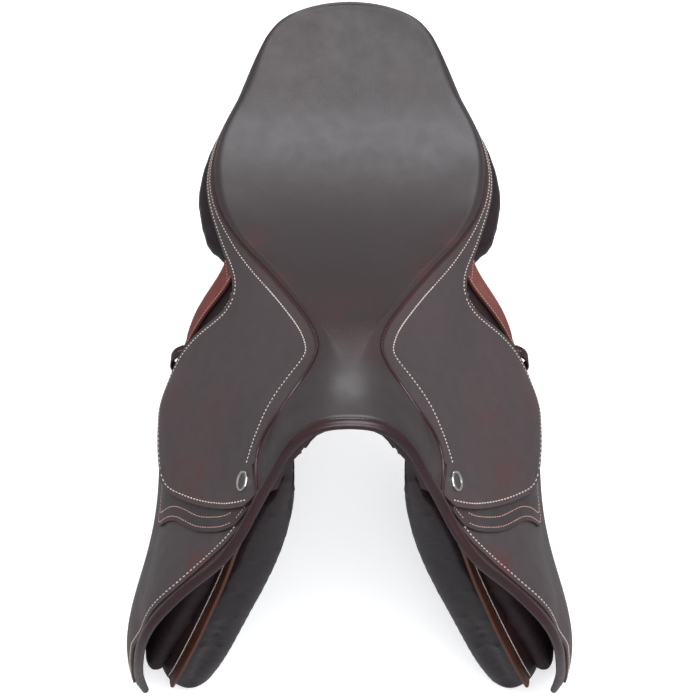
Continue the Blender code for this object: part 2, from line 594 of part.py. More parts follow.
for side, tag in ((1, "left"), (-1, "right")):
    # seam piping
    tube(f"{tag}_seat_piping", even(SEAM, 40, 0.0, 1.0), PIPE_R, PIPING, side)

    # yoke: the fixed upper leather under the seat
    ys = np.concatenate([np.linspace(-184, -150, 8), np.linspace(-142, 3, 16), np.linspace(10, 194, 15)])
    top = np.array([(y, clear_of_seam(y, PIPE_R + 0.8)) for y in ys])
    low = []
    for y, zt in top:
        z = cut_height(y, [0, SKIRT_T], 0.45) if y < 3.5 else float(np.interp(y, *YOKE_EDGE(np.linspace(0, 1, 200)).T))
        low.append((y, min(z, zt - 2.5)))
    low = np.array(low)
    f = np.linspace(0, 1, 5)[None, :, None]
    g = top[:, None] * (1 - f) + low[:, None] * f
    leather(f"{tag}_skirt_yoke", OUTER.point(g[..., 0], g[..., 1], 0.0), SKIRT_T, SKIRT_LEATHER, side)

    # skirt: lifts to show the stirrup bar
    ys = np.concatenate([np.linspace(-212, -50, 15), [-41, -33, -26, -20, -16, -13, -11, -9.6, -8.6, -7.4, -5, -1.5, 2]])
    top = np.array([(y, cut_height(y, [0, SKIRT_T], -0.45)) for y in ys])
    edge = SKIRT_EDGE(np.linspace(0, 1, 300))
    low = np.array([(y, min(float(np.interp(y, edge[:, 0], edge[:, 1])), zt - 3)) for y, zt in top])
    f = np.linspace(0, 1, 9)[None, :, None]
    g = top[:, None] * (1 - f) + low[:, None] * f
    leather(f"{tag}_skirt", OUTER.point(g[..., 0], g[..., 1], 0.0), SKIRT_T, SKIRT_LEATHER, side)

    # oval nail plate on the skirt
    c, n = OUTER.point(-190.0, 44.0, -GAP), OUTER.normal(-190.0, 44.0)
    upv = np.array([0, 0.69, 0.72]) - n * (n @ np.array([0, 0.69, 0.72]))
    upv /= np.linalg.norm(upv)
    rt = np.cross(n, upv)
    oval = [c + rt * 9.6 * math.cos(a) + upv * 8.8 * math.sin(a) for a in np.linspace(0, 2 * math.pi, 24, endpoint=False)]
    extruded(f"{tag}_skirt_plaque", oval, (0, 0, 0), n * 1.6, STEEL, side)

    # flap, with an open notch for the stirrup bar
    ys = np.linspace(-207, -31, 12)
    top = [(y, cut_height(y, [FLAP_OUT, FLAP_OUT + FLAP_T], -0.6)) for y in ys]
    fr = FRONT(np.linspace(T_ROLL, 1, 30))
    front = [tuple(top[0])] + [(p[1] + 5.7, p[2]) for p in fr[2:]]
    front[-1] = FLAP_LOW[0]
    rear = [tuple(top[-1])] + FLAP_REAR[1:]
    g = coons(top, FLAP_LOW, front, rear, 17, 19)
    flap = leather(f"{tag}_flap", OUTER.point(g[..., 0], g[..., 1], flap_depth(g[..., 1])), FLAP_T, SKIRT_LEATHER, side)
    corners = [world(s, u, d) for s, u, d in ((51, 4, 2.6), (133, 4, 2.6), (133, -36, 2.6), (51, -36, 2.6))]
    boolean(flap, extruded(f"{tag}_notch", corners, (0, 0, 0), INWARD * 24, PLATE, side), "DIFFERENCE")

    # rolled front edge
    tube(f"{tag}_flap_roll", even(FRONT, 26, T_ROLL, 1.0), ROLL_R, LEATHER, side, resolution=2)

    # reinforcement band under the skirt's lower edge
    bt = [(-213, 50), (-198, 20), (-181, -6), (-163, -26), (-146, -40), (-124, -50), (-95, -45), (-68, -38)]
    bl = [(-219, 24), (-215, 8), (-205.5, -13), (-195, -31), (-183, -44.5), (-170, -59), (-162, -76), (-151, -104), (-115, -118), (-58, -98)]
    g = coons(bt, bl, [bt[0], bl[0]], [bt[-1], bl[-1]], 17, 6)
    leather(f"{tag}_flap_band", OUTER.point(g[..., 0], g[..., 1], BAND_OUT), BAND_T, SKIRT_LEATHER, side)

    # sweat flap and its russet front edge
    st = [(-215.5, -10), (-150, -12), (-100, -6), (-60, 0), (-20, 20), (0, 36), (40, 42), (58, 42)]
    sl = [(-246, -240), (-222, -268), (-190, -290), (-130, -298), (-60, -294), (-10, -280)]
    edge = along([(94, -222, 3), (102, -222, -35), (114, -229, -73), (132, -241, -123), (154, -248.5, -184), (169, -251.5, -222), (174, -251, -238)])
    e = edge(np.linspace(0, 1, 14))
    sf = [(-215.5, -10)] + [(y + 5.4, z) for _, y, z in e[1:]]
    sf[-1] = sl[0]
    sr = [st[-1], (50, 10), (38, -25), (30, -60), (22, -100), (15, -150), (12, -200), (4, -250), sl[-1]]
    g = coons(st, sl, sf, sr, 13, 14)
    leather(f"{tag}_sweat_flap", INNER.point(g[..., 0], g[..., 1], 0.0), SWEAT_T, DARK, side)
    e = even(edge, 14)
    f = np.linspace(-1, 1, 3)[None, :]
    yy, zz = e[:, 1:2] + 3.9 * f, e[:, 2:3] + 0 * f
    leather(f"{tag}_sweat_edge_strip", INNER.point(yy, zz, 0.0), SWEAT_T, RUSSET, side)

    # panel: flat pad under the flap, running into the rear cushion
    stations = [-205, -201, -194, -175, -150, -125, -100, -75, -50, -25, 0, 25, 45, 59, 69, 84, 110, 140, 168, 190, 205, 214, 218]
    z_top = Spline([-215, -160, -130, -95, -60, 0, 50, 100, 140, 170, 200, 222], [55, 50, 34, 32, 38, 42, 46, 52, 66, 84, 88, 82])
    z_low = Spline([-215, -200, -150, -100, -60, -20, 20, 60, 120, 200, 225], [-312, -315, -302, -250, -155, -55, -6, 14, 22, 34, 58])
    nose_y = along([(0, 60), (-5, -19), (-11, -73), (-17, -124), (-22, -181), (-27, -233), (-24, -300)])(np.linspace(0, 1, 200))
    inner_f = ([-295, -245, -190, -130, -81, -24, 7, 51, 88], [140, 120, 102, 82, 65.5, 52, 48, 43.5, 41.5])
    thick_r = Spline([-310, -250, -150, -73, 0, 56], [14, 16, 22, 28, 30, 20])
    half_out = Spline([0, 10, 38, 65, 100, 121, 150, 180, 205, 222], [111, 116, 124, 132, 142, 145, 142, 129, 112, 88])
    rings = []
    for k, y0 in enumerate(stations):
        zt, zl = float(z_top(y0)[0]), float(z_low(y0)[0])
        fade = 1 - float(ramp(y0, -200, -110))
        z_side = zt + (zl - zt) * (0.5 - 0.5 * np.cos(np.linspace(0.11, 0.89, 12) * math.pi))
        yy = y0 + fade * np.interp(-z_side, -nose_y[:, 1], nose_y[:, 0])
        out = INNER(yy, z_side) - (SWEAT_T + 1.8) / INNER.normal(yy, z_side)[..., 0]
        limit = OUTER(yy, z_side) - 20.8 / OUTER.normal(yy, z_side)[..., 0]
        out = np.where(z_side > -18, np.minimum(out, limit), out)
        s = float(ramp(y0, -215, -60))
        inn = np.minimum(np.interp(z_side, *inner_f), out - 11) * (1 - s) + (out - thick_r(z_side)) * s
        shrink = [0.55, 0.86][k] if k < 2 else 1.0
        mid = (out + inn) / 2
        out, inn = mid + (out - mid) * shrink, mid + (inn - mid) * shrink
        flat = [((out[0] + inn[0]) / 2, yy[0], zt)] + list(zip(out, yy, z_side)) + [((out[-1] + inn[-1]) / 2, yy[-1], zl)]
        flat = np.array(flat + list(zip(inn[::-1], yy[::-1], z_side[::-1])))
        # rear cushion: rounded box section
        full = float(np.interp(y0, [190, 205, 214, 218], [1, 0.92, 0.7, 0.42]))
        xi, xo = 38.0 + (1 - full) * 14, float(half_out(y0)[0])
        xc, zc = (xi + xo) / 2, (zt + zl) / 2
        a = np.linspace(math.pi / 2, math.pi / 2 - 2 * math.pi, len(flat), endpoint=False)
        ca, sa = np.cos(a), np.sin(a)
        box = np.stack([xc + (xo - xi) / 2 * np.sign(ca) * np.abs(ca) ** 0.62 * (0.6 + 0.4 * full),
                        np.full(len(a), float(y0)),
                        zc + (zt - zl) / 2 * np.sign(sa) * np.abs(sa) ** 0.62 * full], -1)
        mix = float(ramp(y0, -70, 45))
        ring = flat * (1 - mix) + box * mix
        most = INNER(ring[:, 1], ring[:, 2]) - (SWEAT_T + 2.0) / INNER.normal(ring[:, 1], ring[:, 2])[..., 0]
        ring[:, 0] = np.minimum(ring[:, 0], most + 40 * float(ramp(y0, 59, 74)))
        rings.append(ring)
    loft(f"{tag}_panel", rings, DARK, side)

    # knee and calf blocks between flap and sweat flap: rounded blocks that stay under the flap
    for name, (yc, zc), (ry, rz, tilt), spare, rise in (("knee_block", (-209, -156), (20, 110, 8), 2.5, 18), ("calf_block", (-24, -205), (14, 44, -6), 1.6, 7)):
        rings = []
        for r, h in ((0.2, 0.0), (0.6, 0.0), (1.0, 0.0), (1.0, 0.55), (0.9, 0.85), (0.68, 1.0), (0.25, 1.0)):
            ring = []
            for a in np.linspace(0, 2 * math.pi, 22, endpoint=False):
                ca, sa = math.cos(a), math.sin(a)
                y = yc + ry * r * math.copysign(abs(ca) ** 0.7, ca) + tilt * r * sa
                z = zc + rz * r * math.copysign(abs(sa) ** 0.7, sa)
                lo, n = INNER.point(y, z, -1.5), INNER.normal(y, z)
                room = 0.0
                while room < rise:
                    q = lo + n * (room + 0.5)
                    if (OUTER(q[1], q[2]) - q[0]) * OUTER.normal(q[1], q[2])[0] < FLAP_OUT + FLAP_T + spare:
                        break
                    room += 0.5
                ring.append(lo + n * max(room, 1.0) * h)
            rings.append(ring)
        loft(f"{tag}_{name}", rings, DARK, side)

    # girth billets between flap and sweat flap
    for name, y_top, y_low in (("front_billet", -78, -92), ("rear_billet", -53.5, -55)):
        z = np.linspace(26, -252, 12)
        yc = np.interp(z, [-252, 26], [y_low, y_top])
        half = np.interp(z, [-252, -246, -236], [4, 9.5, 12.2])
        g = []
        for a, b, h in zip(yc, z, half):
            row = []
            for q in (-1, 0, 1):
                y = a + q * h
                deep = OUTER(y, b) - (FLAP_OUT + FLAP_T + 0.9) / OUTER.normal(y, b)[0]
                lift = INNER(y, b) + 4.0 / INNER.normal(y, b)[0]
                row.append((min(deep, lift), y, b))
            g.append(row)
        leather(f"{tag}_{name}", np.array(g), 3.0, DARK, side)

    # balance strap lying on the sweat flap behind the flap
    t = np.linspace(0, 1, 9)
    cl = along([(112, 42, 46), (127, 35, 20), (141, 26, -8), (153, 17, -38)])(t)
    half = np.interp(t, [0, 0.85, 0.95, 1], [12.5, 12.5, 9.5, 5])
    skew = np.interp(t, [0, 0.8, 1], [0, 0, -3])
    g = np.array([[INNER.point(c[1] + q * h + k, c[2] + 0.25 * q * h, -5.2) for q in (-1, 0, 1)] for c, h, k in zip(cl, half, skew)])
    leather(f"{tag}_balance_strap", g, 4.0, RUSSET, side)

    # keeper loop and D-ring under the tip of the strap
    base, n = INNER.point(6.0, -60.0, 0.0), INNER.normal(6.0, -60.0)
    rear = np.array([0, 1.0, 0]) - n * n[1]
    rear /= np.linalg.norm(rear)
    down = np.cross(rear, n)
    down *= -1 if down[2] > 0 else 1
    arc = [(-18, 0.8), (-15, 6.5), (-9, 10.6), (0, 12.2), (9, 10.6), (15, 6.5), (18, 0.8),
           (12.8, 0.8), (11.5, 5.0), (7.0, 8.4), (0, 9.6), (-7.0, 8.4), (-11.5, 5.0), (-12.8, 0.8)]
    extruded(f"{tag}_ring_loop", [base + down * a + n * b for a, b in arc], -rear * 6, rear * 6, DARK, side)
    pts = [(-7.5, -4), (-7.5, 1), (-7.5, 6)] + [(-7.5 * math.cos(q), 6 + 8.5 * math.sin(q)) for q in np.linspace(0.3, math.pi - 0.3, 7)] + [(7.5, 6), (7.5, 1), (7.5, -4)]
    tube(f"{tag}_strap_ring", [base + n * 3.0 + down * a + rear * b for a, b in pts], 1.5, STEEL, side, cyclic=True)

    # stirrup bar: J-shaped arm on a back plate, safety catch at its rear end
    s0 = 92.0

    def at(s, u, d):
        return world(s0 + s, u, d + 4.2 - 0.1 * s)

    arm = [(-34, 14.5), (-34, 7.6), (28, 7.6), (28, 10.8), (-29, 10.8), (-29, 16.5), (36, 16.5), (36, 19.6), (-34, 19.6)]
    body = extruded(f"{tag}_stirrup_bar", [at(s, -25, d) for s, d in arm], (0, 0, 0), UPWARD * 13, STEEL, side)
    back = [(-34, 16.6), (30, 16.6), (30, 19.5), (-34, 19.5)]
    boolean(body, extruded(f"{tag}_bar_back", [at(s, -14, d) for s, d in back], (0, 0, 0), UPWARD * 12, STEEL, side), "UNION")
    for k, s in ((1, -26), (2, 22)):
        boolean(body, rod(f"{tag}_bar_hole_{k}", at(s, -6.5, 18), INWARD, 2.9, 12, STEEL, side), "DIFFERENCE")
        rod(f"{tag}_bar_rivet_{k}", at(s, -6.5, 17.4), INWARD, 2.5, 4.6, STEEL, side)
    pivot = at(32.5, -22.0, 0)
    boolean(body, rod(f"{tag}_pin_hole", pivot + INWARD * 18, INWARD, 1.8, 10, STEEL, side), "DIFFERENCE")
    rod(f"{tag}_catch_pin", pivot + INWARD * 15.1, INWARD, 1.4, 9.2, STEEL, side)
    outline = [pivot + AXIS * a + UPWARD * b for a, b in ((-3, -3), (3, -3), (3, 9), (1.5, 11), (-1.5, 11), (-3, 9))]
    catch = extruded(f"{tag}_bar_catch", outline, INWARD * 11.2, INWARD * 16.0, STEEL, side)
    boolean(catch, rod(f"{tag}_catch_hole", pivot + INWARD * 13.5, INWARD, 1.8, 9, STEEL, side), "DIFFERENCE")

# ---------------------------------------------------------------- moving pieces take their origin on their axis
bpy.context.view_layer.update()
MID = (H0 + H1) / 2


def set_origin(obj, p):
    """Moves an object's origin to a point without moving its shape."""
    shift = obj.matrix_world.inverted() @ mm(p)
    if obj.type == "MESH":
        obj.data.transform(Matrix.Translation(-shift))
    else:
        for s in obj.data.splines:
            for q in s.points:
                q.co = (q.co[0] - shift.x, q.co[1] - shift.y, q.co[2] - shift.z, 1)
    obj.matrix_world = obj.matrix_world @ Matrix.Translation(shift)


for side, tag in ((1, "left"), (-1, "right")):
    for piece in ("skirt", "skirt_plaque", "flap", "flap_roll", "flap_band"):
        set_origin(bpy.data.objects[f"{tag}_{piece}"], (side * MID[0], MID[1], MID[2]))
    q = world(92.0 + 32.5, -22.0, 13.6 + 4.2 - 3.25)
    set_origin(bpy.data.objects[f"{tag}_bar_catch"], (side * q[0], q[1], q[2]))
    q = INNER.point(6.0, -60.0, 0.0) + INNER.normal(6.0, -60.0) * 3.0 + np.array([0, -4.0, 0])
    set_origin(bpy.data.objects[f"{tag}_strap_ring"], (side * q[0], q[1], q[2]))
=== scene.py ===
"""Looks of a close-contact jumping saddle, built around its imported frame.

Lengths are millimetres inside this script and metres in the scene. +Z up, -Y to the pommel, +X to the saddle's left side.
Each side piece is shaped once for the left side and mirrored for the right one.
"""
import math

import bmesh
import bpy
import numpy as np
from mathutils import Matrix, Vector

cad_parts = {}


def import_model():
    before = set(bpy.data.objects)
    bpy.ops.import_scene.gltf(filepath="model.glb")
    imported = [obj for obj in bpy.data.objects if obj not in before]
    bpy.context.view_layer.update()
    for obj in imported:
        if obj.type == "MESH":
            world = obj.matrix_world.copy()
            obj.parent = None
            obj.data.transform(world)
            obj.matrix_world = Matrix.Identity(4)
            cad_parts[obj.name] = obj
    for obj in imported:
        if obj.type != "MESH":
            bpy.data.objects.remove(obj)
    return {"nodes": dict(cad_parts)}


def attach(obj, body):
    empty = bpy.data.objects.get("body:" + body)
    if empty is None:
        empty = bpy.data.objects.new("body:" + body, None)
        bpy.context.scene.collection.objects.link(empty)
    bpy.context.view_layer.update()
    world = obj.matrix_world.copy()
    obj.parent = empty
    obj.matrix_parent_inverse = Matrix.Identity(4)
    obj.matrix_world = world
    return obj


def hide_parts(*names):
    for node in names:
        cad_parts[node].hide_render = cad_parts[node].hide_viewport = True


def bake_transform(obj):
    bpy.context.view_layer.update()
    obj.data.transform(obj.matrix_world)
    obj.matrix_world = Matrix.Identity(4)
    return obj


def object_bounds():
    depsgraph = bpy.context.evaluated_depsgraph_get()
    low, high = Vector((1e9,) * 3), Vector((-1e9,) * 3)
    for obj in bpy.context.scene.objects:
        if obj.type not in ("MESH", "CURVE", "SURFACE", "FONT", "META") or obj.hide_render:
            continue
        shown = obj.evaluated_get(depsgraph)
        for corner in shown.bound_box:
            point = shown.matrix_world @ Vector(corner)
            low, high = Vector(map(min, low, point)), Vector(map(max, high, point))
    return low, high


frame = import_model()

CAD_BOX = [list(v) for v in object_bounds()]
NODES = frame["nodes"]

# ---------------------------------------------------------------- dimensions
SKIRT_T = 2.6                  # skirt leather
BAND_OUT, BAND_T = 3.2, 1.5    # reinforcement band: depth of its outer face, thickness
FLAP_OUT, FLAP_T = 5.4, 3.0    # flap: depth of its outer face, thickness
SWEAT_T = 3.0                  # sweat flap leather
SEAT_T = 2.6                   # seat leather
FOAM_T = 14.0                  # seat foam
ROLL_R = 4.4                   # rolled front edge of the flaps
WELT_R = 4.6                   # rolled welt of the head
PIPE_R = 1.7                   # seat piping
GAP = 0.4                      # clearance between pieces that touch
HINGE_FRONT = (79.5, -216.0, 64.0)   # line about which flap and skirt lift
HINGE_REAR = (109.5, 10.0, 53.0)





# ---------------------------------------------------------------- curves and tables
class Spline:
    """Natural cubic spline through knots (t, value or vector)."""

    def __init__(self, t, v):
        self.t = np.asarray(t, float)
        self.v = np.asarray(v, float)
        if self.v.ndim == 1:
            self.v = self.v[:, None]
        n, h = len(self.t), np.diff(self.t)
        a, b = np.zeros((n, n)), np.zeros((n, self.v.shape[1]))
        a[0, 0] = a[-1, -1] = 1
        for i in range(1, n - 1):
            a[i, i - 1], a[i, i], a[i, i + 1] = h[i - 1], 2 * (h[i - 1] + h[i]), h[i]
            b[i] = 6 * ((self.v[i + 1] - self.v[i]) / h[i] - (self.v[i] - self.v[i - 1]) / h[i - 1])
        self.m = np.linalg.solve(a, b)

    def __call__(self, x):
        x = np.clip(np.atleast_1d(np.asarray(x, float)), self.t[0], self.t[-1])
        i = np.clip(np.searchsorted(self.t, x) - 1, 0, len(self.t) - 2)
        h = (self.t[i + 1] - self.t[i])[:, None]
        lo, hi = (self.t[i + 1] - x)[:, None], (x - self.t[i])[:, None]
        r = (self.m[i] * lo**3 + self.m[i + 1] * hi**3) / (6 * h)
        r += (self.v[i] / h - self.m[i] * h / 6) * lo + (self.v[i + 1] / h - self.m[i + 1] * h / 6) * hi
        return r if r.shape[1] > 1 else r[:, 0]


def along(points):
    """Spline through points, run by chord length from 0 to 1."""
    p = np.asarray(points, float)
    d = np.concatenate([[0], np.cumsum(np.linalg.norm(np.diff(p, axis=0), axis=1))])
    return Spline(d / d[-1], p)


def even(curve, n, lo=0.0, hi=1.0):
    """n points evenly spaced by length on a curve between two of its parameters."""
    t = np.linspace(lo, hi, 400)
    p = curve(t)
    d = np.concatenate([[0], np.cumsum(np.linalg.norm(np.diff(p, axis=0), axis=1))])
    return curve(np.interp(np.linspace(0, d[-1], n), d, t))


def ramp(x, lo, hi):
    """Smooth step from 0 at lo to 1 at hi."""
    t = np.clip((np.asarray(x, float) - lo) / (hi - lo), 0, 1)
    return t * t * (3 - 2 * t)


class Side:
    """Half-width x of a side surface over station y and height z, from a table of section widths."""

    def __init__(self, ys, rows):
        zs = sorted(rows)
        self.y0, self.z0, self.step = ys[0], zs[0], 2.0
        self.gy = np.arange(ys[0], ys[-1] + 0.1, self.step)
        self.gz = np.arange(zs[0], zs[-1] + 0.1, self.step)
        by_row = np.array([Spline(ys, rows[z])(self.gy) for z in zs])
        self.g = Spline(zs, by_row)(self.gz)

    def __call__(self, y, z):
        a = np.clip((np.asarray(y, float) - self.y0) / self.step, 0, len(self.gy) - 1.001)
        b = np.clip((np.asarray(z, float) - self.z0) / self.step, 0, len(self.gz) - 1.001)
        i, j = a.astype(int), b.astype(int)
        u, v = a - i, b - j
        g = self.g
        return (g[j, i] * (1 - u) + g[j, i + 1] * u) * (1 - v) + (g[j + 1, i] * (1 - u) + g[j + 1, i + 1] * u) * v

    def normal(self, y, z):
        y, z = np.asarray(y, float), np.asarray(z, float)
        e = 5.0
        xy = (self(y + e, z) - self(y - e, z)) / (2 * e)
        xz = (self(y, z + e) - self(y, z - e)) / (2 * e)
        n = np.stack([np.ones_like(xy), -xy, -xz], -1)
        return n / np.linalg.norm(n, axis=-1, keepdims=True)

    def point(self, y, z, depth=0.0):
        """Points on the surface, moved inwards along its normal by depth."""
        y, z = np.asarray(y, float) + 0.0 * np.asarray(z, float), np.asarray(z, float) + 0.0 * np.asarray(y, float)
        return np.stack([self(y, z), y, z], -1) - self.normal(y, z) * (np.asarray(depth, float)[..., None] if np.ndim(depth) else depth)


# Outer surface of skirts and flaps: half-widths at sections along the saddle.
OUTER = Side([-275, -240, -200, -150, -100, -50, 0, 50, 100, 150, 200], {
    120: [40, 42, 46, 40, 12, 10, 38, 70, 98, 104, 95],
    90: [58, 59, 61.5, 66, 53, 50, 68, 101, 124, 126, 112],
    60: [72, 73, 77, 84, 88, 86, 98, 117, 136, 136, 120],
    30: [86, 90, 95, 101, 116, 117, 122, 130, 141, 141, 128],
    0: [108, 113, 113, 122, 140, 146, 147, 148, 150, 150, 140],
    -30: [138, 136, 134, 142, 161, 168, 166, 165, 163, 160, 150],
    -60: [163, 166, 162, 162, 174, 178, 178, 178, 176, 170, 160],
    -100: [180, 188, 185, 180, 181, 183, 186, 187, 186, 180, 170],
    -150: [189, 200, 199, 192, 188, 189, 192, 194, 193, 190, 180],
    -220: [196, 210, 215, 209, 202, 200, 202, 203, 202, 200, 190],
    -300: [196, 214, 228, 230, 222, 214, 212, 212, 210, 206, 200],
})
# Outer surface of the sweat flaps, further in.
INNER = Side([-255, -200, -150, -100, -50, 0, 50, 100], {
    60: [58, 62, 66, 70, 72, 84, 104, 116],
    30: [80, 82, 86, 97, 101, 105, 114, 122],
    0: [92, 95, 103, 119, 128, 130, 132, 136],
    -35: [100, 105, 117, 139, 149, 151, 150, 150],
    -73: [112, 120, 140, 156, 162, 165.5, 165, 164],
    -123: [130, 143, 159, 165, 168, 173, 174, 172],
    -184: [153, 166, 178, 177.5, 176.5, 180.5, 181, 180],
    -245: [175, 186, 193, 191, 187, 188, 188, 187],
    -300: [188, 198, 205, 202, 197, 196, 195, 194],
})

# Seam between seat and skirt in side view, front to rear: (y, z); it lies on the outer surface.
_seam = along([
    (-212, 63.5), (-193, 64.5), (-181, 69), (-172, 81), (-165, 98), (-157, 110), (-143, 116), (-124, 115), (-105, 111),
    (-88, 106), (-69, 100.5), (-48, 94.5), (-22, 88.5), (2, 84.5), (22, 82), (44, 80.5), (70, 81), (98, 86),
    (126, 92), (155, 99), (180, 106), (198, 113)])(np.linspace(0, 1, 200))
SEAM = along(np.stack([OUTER(_seam[:, 0], _seam[:, 1]), _seam[:, 0], _seam[:, 1]], -1))

# Front edge of the head and flap: (x, y, z), from the top of the pommel down to the toe of the flap
FRONT = along([
    (0, -200, 147), (13, -200, 145.5), (26.5, -201, 140.5), (38.3, -203, 130.5), (49, -206, 114), (59.5, -211, 89.5),
    (70.5, -216, 64), (79, -223, 46), (86.6, -230.5, 32.6), (93.8, -236.3, 21.5), (101.3, -241, 11), (116.3, -245.5, -8.5),
    (134.5, -249.5, -29), (152.5, -257.5, -47),
    (167.5, -264, -67), (181, -268, -100), (190.5, -266.5, -146), (198, -259, -202), (201, -248, -262)])

# ---------------------------------------------------------------- hinge plane
H0, H1 = np.array(HINGE_FRONT), np.array(HINGE_REAR)
AXIS = (H1 - H0) / np.linalg.norm(H1 - H0)
INWARD = np.array([-0.76, 0.0, -0.65])
INWARD = INWARD - AXIS * (INWARD @ AXIS)
INWARD /= np.linalg.norm(INWARD)
UPWARD = np.cross(AXIS, INWARD)
if UPWARD[2] < 0:
    UPWARD = -UPWARD


def above(p):
    """Height of points over the plane that holds the hinge line and the inward direction."""
    return (np.asarray(p) - H0) @ UPWARD


def world(s, u, d):
    """Point at s along the hinge from its front end, u over the hinge plane and d inwards of the hinge line."""
    return H0 + AXIS * s + UPWARD * u + INWARD * d


def cut_height(y, depths, level):
    """Height z on the outer surface at station y whose points at all these depths clear a level over or under the plane."""
    z = np.linspace(110, -20, 521)
    hs = [above(OUTER.point(np.full(z.shape, float(y)), z, d)) for d in depths]
    if level > 0:
        ok = np.min(hs, axis=0) >= level
        return z[np.nonzero(ok)[0][-1]]
    ok = np.max(hs, axis=0) <= level
    return z[np.nonzero(ok)[0][0]]


def coons(top, bottom, front, rear, n, m):
    """Grid of (y, z) inside four edges; top and bottom run front to rear, front and rear run top to bottom."""
    s = np.linspace(0, 1, n)[:, None, None]
    t = np.linspace(0, 1, m)[None, :, None]
    tt, bb = even(along(top), n)[:, None], even(along(bottom), n)[:, None]
    ff, rr = even(along(front), m)[None], even(along(rear), m)[None]
    flat = (1 - s) * (1 - t) * tt[0] + s * (1 - t) * tt[-1] + (1 - s) * t * bb[0] + s * t * bb[-1]
    return (1 - t) * tt + t * bb + (1 - s) * ff + s * rr - flat


# ---------------------------------------------------------------- seat surface
# rim of the seat in plan with its height: from the pommel edge round to the middle of the cantle
RIM = along([
    (68, -208, 72), (71, -193, 73), (68.5, -181, 79), (63, -171, 92), (54, -163, 109), (43, -156, 120),
    (31, -141, 124), (20, -122, 121), (17, -105, 117), (20, -88, 112), (28.5, -69, 107), (41, -47, 101.5),
    (56, -21, 96.5), (71, 2, 93.5), (86.5, 22, 91.5), (100.5, 44, 91), (112.5, 70, 93), (119, 98, 100),
    (119.5, 128, 110), (111, 150, 123), (98, 168, 138), (89, 182, 153.5), (80, 194.5, 170.5), (65.5, 205.8, 188),
    (44, 212, 198), (22, 215.7, 201.9), (0, 217, 202.8)])
# middle line of the seat in side view: (y, z)
MIDDLE = Spline(
    [-195, -180, -160, -138, -110, -75, -40, 0, 35, 70, 105, 135, 160, 180, 195, 207, 217],
    [150.3, 147.5, 140.5, 131, 119.5, 107.5, 98.5, 91, 88.5, 90.5, 98, 109.5, 126, 147, 168, 187.5, 202.8])
SPREAD = Spline([0, 0.12, 0.26, 0.36, 0.48, 0.60, 0.70, 0.80, 0.90, 1.0],
                [0, 0.07, 0.17, 0.30, 0.46, 0.63, 0.76, 0.88, 0.955, 1.0])
SPINE_END = 165.0


def seat_point(u, v):
    """Seat surface: u runs round the rim from the pommel to the cantle, v from the middle line (0) to the rim (1)."""
    u = np.asarray(u, float)
    rim = RIM(u)
    ys = -194.5 + (SPINE_END + 194.5) * SPREAD(u)
    y = ys + (rim[:, 1] - ys) * np.power(v, np.interp(rim[:, 1], [-208, -175], [2.4, 1.0]))
    drop = rim[:, 2] - MIDDLE(rim[:, 1])
    power = np.interp(rim[:, 1], [-208, -160, -110, 0, 100, 160, 215], [2.7, 2.2, 2.0, 2.6, 3.0, 2.6, 2.0])
    return np.stack([rim[:, 0] * v, y, MIDDLE(y) + drop * np.power(v, power)], -1)


def plan_match(curve, other, t):
    """Parameter on the other curve of the point nearest in plan to curve(t)."""
    grid = np.linspace(0, 1, 2001)
    o = other(grid)[:, :2]
    return np.array([grid[int(np.argmin(((o - p[:2]) ** 2).sum(axis=1)))] for p in curve(np.atleast_1d(t))])


LAST_SIDE = plan_match(along([(82, 198, 0), (82, 199, 0)]), RIM, [0.0])[0]
_u = np.linspace(0, LAST_SIDE, 24)
_s = np.maximum.accumulate(plan_match(RIM, SEAM, _u))
_s[0], _s[-1] = 0.0, 1.0
_k = [0, 1, 3, 5, 7, 9, 11, 13, 15, 17, 19, 21, 23]
_s = np.interp(_u, _u[_k], _s[_k])


def seam_for(us):
    """Lower edge of the seat's side wall: the skirt seam, then the back of the cantle."""
    end = SEAM(1.0)[0]
    out = []
    for u in us:
        if u <= LAST_SIDE:
            out.append(SEAM(np.interp(u, _u, _s))[0])
        else:
            a = (u - LAST_SIDE) / (1 - LAST_SIDE) * math.pi / 2
            out.append(np.array([end[0] * math.cos(a), end[1] + (212 - end[1]) * math.sin(a), end[2] + 4 * math.sin(a)]))
    return np.array(out)


def seat_wall(us, rows):
    """Side wall of the seat from under the rim to a little over the seam, slightly bulged."""
    rim, seam = RIM(us), seam_for(us)
    reach = np.linalg.norm(seam - rim, axis=1)
    end = 1 - (PIPE_R + 1.9) / reach
    out = []
    for w in rows:
        f = (w * end)[:, None]
        p = rim * (1 - f) + seam * f
        away = np.stack([rim[:, 0], np.maximum(rim[:, 1] - 90, 0), np.zeros(len(us))], -1)
        away /= np.linalg.norm(away, axis=1, keepdims=True) + 1e-9
        p = p + away * (math.sin(math.pi * w) * np.interp(reach, [5, 12, 60], [0.0, 0.8, 5.0]))[:, None]
        out.append(p)
    return np.stack(out, axis=1)


def even_stations(n):
    """n stations round the rim, evenly spaced by length."""
    t = np.linspace(0, 1, 800)
    p = RIM(t)
    d = np.concatenate([[0], np.cumsum(np.linalg.norm(np.diff(p, axis=0), axis=1))])
    return np.interp(np.linspace(0, d[-1], n), d, t)


def seat_normals(grid):
    n = np.cross(np.gradient(grid, axis=0), np.gradient(grid, axis=1))
    if n[len(n) // 2, 0, 2] < 0:
        n = -n
    n[:, 0, 0] = 0
    n[-1, :, 0] = 0
    return n / (np.linalg.norm(n, axis=-1, keepdims=True) + 1e-12)


def mirrored(half):
    """Left half grid, first column on the middle line, joined with its mirror image."""
    other = half[:, :0:-1].copy()
    other[..., 0] *= -1
    return np.concatenate([other, half], axis=1)


def on_middle(grid):
    """Keeps the middle line and the last station in the plane of symmetry."""
    grid[:, 0, 0] = 0
    grid[-1, :, 0] = 0
    grid[..., 0] = np.maximum(grid[..., 0], 0)
    return grid


